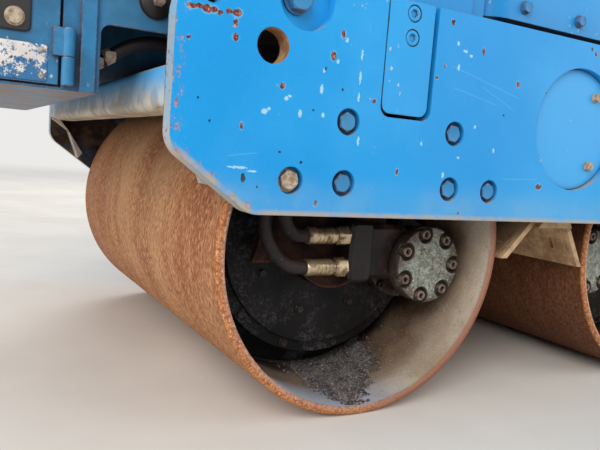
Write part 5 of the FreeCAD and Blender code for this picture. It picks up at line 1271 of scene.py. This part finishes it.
def make_grips():
    """Ribbed rubber grips with closed ends."""
    shape = Shape()
    bar = middle("rubber_grips")
    profile = [(155, 16.15), (155, 19.4), (156, 20), (159.5, 20), (160.5, 18.4)]
    y = 162
    while y < 234:
        profile += [(y, 18.4), (y + 0.8, 19.5), (y + 3, 19.5), (y + 3.8, 18.4)]
        y += 5.2
    profile += [(236, 18.6), (238, 19.6), (240.5, 19.4), (242, 17.5), (242.8, 12), (243, 4)]
    for side in SIDES:
        shape.turned(pose((bar.x, 0, bar.z), (0, side, 0)), profile, 48)
    piece = shape.make("ribbed_grips", "drawbar", "rubber", "black_rubber", 50)
    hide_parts("rubber_grips")


# Filler cap: how many flutes and how deep
FLUTES, FLUTE = 20, 2.4


def make_tank_cap():
    """Fluted filler cap with a raised bar."""
    low, high = box("tank_cap")
    mid = (low + high) / 2
    shape = Shape()
    tall = high.z - low.z
    full = (high.x - low.x) / 2
    rings = []
    for share, inset, flute in ((0, 0, 1), (0.62, 0, 1), (0.74, 1.5, 0.5), (0.78, 5, 0)):
        ring = []
        for turn in turns(FLUTES * 6):
            reach = full - inset - FLUTE * flute * (1 - max(0, math.cos(turn * FLUTES)))
            ring.append((reach * math.cos(turn), reach * math.sin(turn), tall * share))
        rings.append(ring)
    shape.loft(rings, pose((mid.x, mid.y, low.z), UP))
    shape.slab(pose((mid.x, mid.y, low.z + tall * 0.76), UP), 66, 17, 7, tall * 0.24, 2)
    piece = shape.make("fluted_cap", "frame", "plastic", "black_plastic")
    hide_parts("tank_cap")


# The console's sloping top: its rear edge's place and height, rise forwards
CONSOLE_REAR = -1350
CONSOLE_HIGH = 1066.3
CONSOLE_RISE = 34 / 160
PANEL_X = -1310
PANEL_THICK = 1.6


def on_console(x, y, lift=0.0):
    """A pose on the console's top, or lifted off it."""
    z = CONSOLE_HIGH + (x - CONSOLE_REAR) * CONSOLE_RISE
    return pose(at(x, y, z), (-CONSOLE_RISE, 0, 1)) @ Matrix.Translation((0, 0, lift))


def make_console_parts():
    """Panel, hour meter, buttons, key, lever boots."""
    panel, metal, glass, stop, push, boots = (Shape() for _ in range(6))
    panel.slab(on_console(PANEL_X, 0), 250, 66, 8, PANEL_THICK)
    panel.make("console_panel", "drawbar", "under_panel", "black_plastic")
    dial, key, red, green, switch = (on_console(PANEL_X, y, PANEL_THICK) for y in (0, -92, 92, -50, 50))
    metal.turned(dial, ((0, 25), (4, 25), (5.5, 23.5), (5.5, 21), (2.5, 20), (2.5, 4)), 48)
    metal.turned(key, ((0, 13), (5, 13), (6.5, 11), (6.5, 5)), 36)
    metal.slab(key @ Matrix.Rotation(math.pi / 2, 4, "X") @ Matrix.Translation((0, 13, -1)), 9, 24, 2, 2, 0.4)
    metal.make("console_bezels", "drawbar", "bolt", "dusty_steel")
    glass.turned(dial, ((2.4, 20.4), (3.6, 20.2), (4, 12)), 48)
    glass.make("hour_meter_glass", "drawbar", "dark_glass", "black_plastic")
    stop.turned(red, ((0, 9), (10, 9), (10, 17), (14, 18), (18, 15.5), (20, 10), (20.6, 3)), 40)
    stop.make("stop_button", "drawbar", "red_plastic", "black_plastic")
    push.turned(green, ((0, 8), (5, 8), (6.5, 6.5), (6.8, 2)), 30)
    push.make("start_button", "drawbar", "green_plastic", "black_plastic")
    boots.slab(switch, 26, 18, 3, 4, 1)
    boots.slab(switch @ Matrix.Translation((0, 0, 4)) @ Matrix.Rotation(0.16, 4, "X"), 20, 13, 2, 4, 1)
    profile = [(-4, 27), (1.5, 27), (2.5, 26)]
    for i in range(4):
        profile += [(5 + i * 6, 22 - i * 4), (7.5 + i * 6, 23.4 - i * 4), (9.6 + i * 6, 19 - i * 4)]
    for side in SIDES:
        boots.turned(pose(on_console(-1255, 80 * side).translation, UP), profile + [(31, 6.6)], 40)
    boots.make("lever_boots_and_switch", "drawbar", "rubber", "black_rubber", 50)


# Draw latches' places, lid handle's height over the lid's edge, and its bar's
# path: along from the rear edge, across
LATCH_PLACES = (-310, -40)
HANDLE_UP = 36
HANDLE_PATH = ((0, -70), (-22, -70), (-30, -62), (-30, 62), (-22, 70), (0, 70))
EXHAUST_FLANGE = at(-408, -190, 690)


def make_hood_parts():
    """Rubber draw latches, lid handle, hood screws, exhaust and tank bolts."""
    low, high = box("hood_lid")
    shell_low, shell_high = box("hood_shell")
    tank_low, tank_high = box("water_tank")
    rng = random.Random(31)
    straps, bases, screws, handle, pipe, plugs = (Shape() for _ in range(6))
    for side in SIDES:
        out = (0, side, 0)
        for along in LATCH_PLACES:
            def on_wall(over, up, lean=0):
                return at(along + lean, shell_high.y * side + over * side, low.z + up)

            bases.slab(pose(on_wall(0, -52), out), 38, 30, 4, 3)
            bases.slab(pose(on_wall(3, -52), out), 26, 8, 3, 7)
            straps.slab(pose(on_wall(3.6, -2), out), 24, 76, 8, 5, 1.4)
            straps.slab(pose(on_wall(0, 24), out), 36, 26, 4, 4.4)
            for lean in (14, -14):
                socket_head(screws, pose(on_wall(4.2, 24, lean), out, rng.uniform(0, 1)), 6, 2.4, 3)
        for k in range(5):
            spot = (shell_low.x + 60 + 105 * k, shell_high.y * side, shell_low.z + 18)
            hex_head(bases, pose(spot, out, rng.uniform(0, 1)), 13, 5.5, 1.6, 0.5)
        handle.slab(pose((low.x, 70 * side, low.z + HANDLE_UP), (-1, 0, 0)), 30, 22, 5, 3)
        for along in (470, 230):
            spot = at(along, tank_high.y * side, tank_low.z + 26)
            hex_head(plugs, pose(spot, out, 1 if along == 470 else -1), 9, 2.6, 0.8, 0.4)
    straps.make("lid_straps", "hood_lid", "rubber", "black_rubber")
    screws.make("strap_screws", "hood_lid", "bolt", "dusty_steel")
    bases.make("strap_hooks_and_hood_bolts", "frame", "bolt_paint", "blue_paint")
    points = [Vector((low.x + x, y, low.z + HANDLE_UP)) for x, y in HANDLE_PATH]
    rings = []
    for i, point in enumerate(points):
        ways = [(b - a).normalized() for a, b in zip(points[max(0, i - 1):], points[max(0, i - 1) + 1:i + 2])]
        matrix = pose(point, sum(ways, Vector()))
        rings.append([matrix @ Vector(p) for p in circle(6, 0, 16)])
    handle.loft(rings)
    handle.make("lid_handle", "hood_lid", "plastic", "black_plastic")
    for k, turn in enumerate(turns(4, 0.5)):
        spot = EXHAUST_FLANGE + 33 * Vector((0, math.sin(turn), math.cos(turn)))
        hex_head(pipe, pose(spot, (-1, 0, 0), k), 11, 5, 1.4, 0.4)
    pipe.make("exhaust_bolts", "frame", "exhaust", "exhaust_steel")
    plugs.make("tank_bolts", "frame", "bolt_paint", "blue_paint")


make_camera()
make_stage()
make_plate_bolts()
make_frame_bolts()
make_motors()
make_motor_bolts()
make_fittings()
make_scrapers()
make_beam_legs()
make_gravel()
make_nose_parts()
make_welds()
make_grips()
make_tank_cap()
make_console_parts()
make_hood_parts()
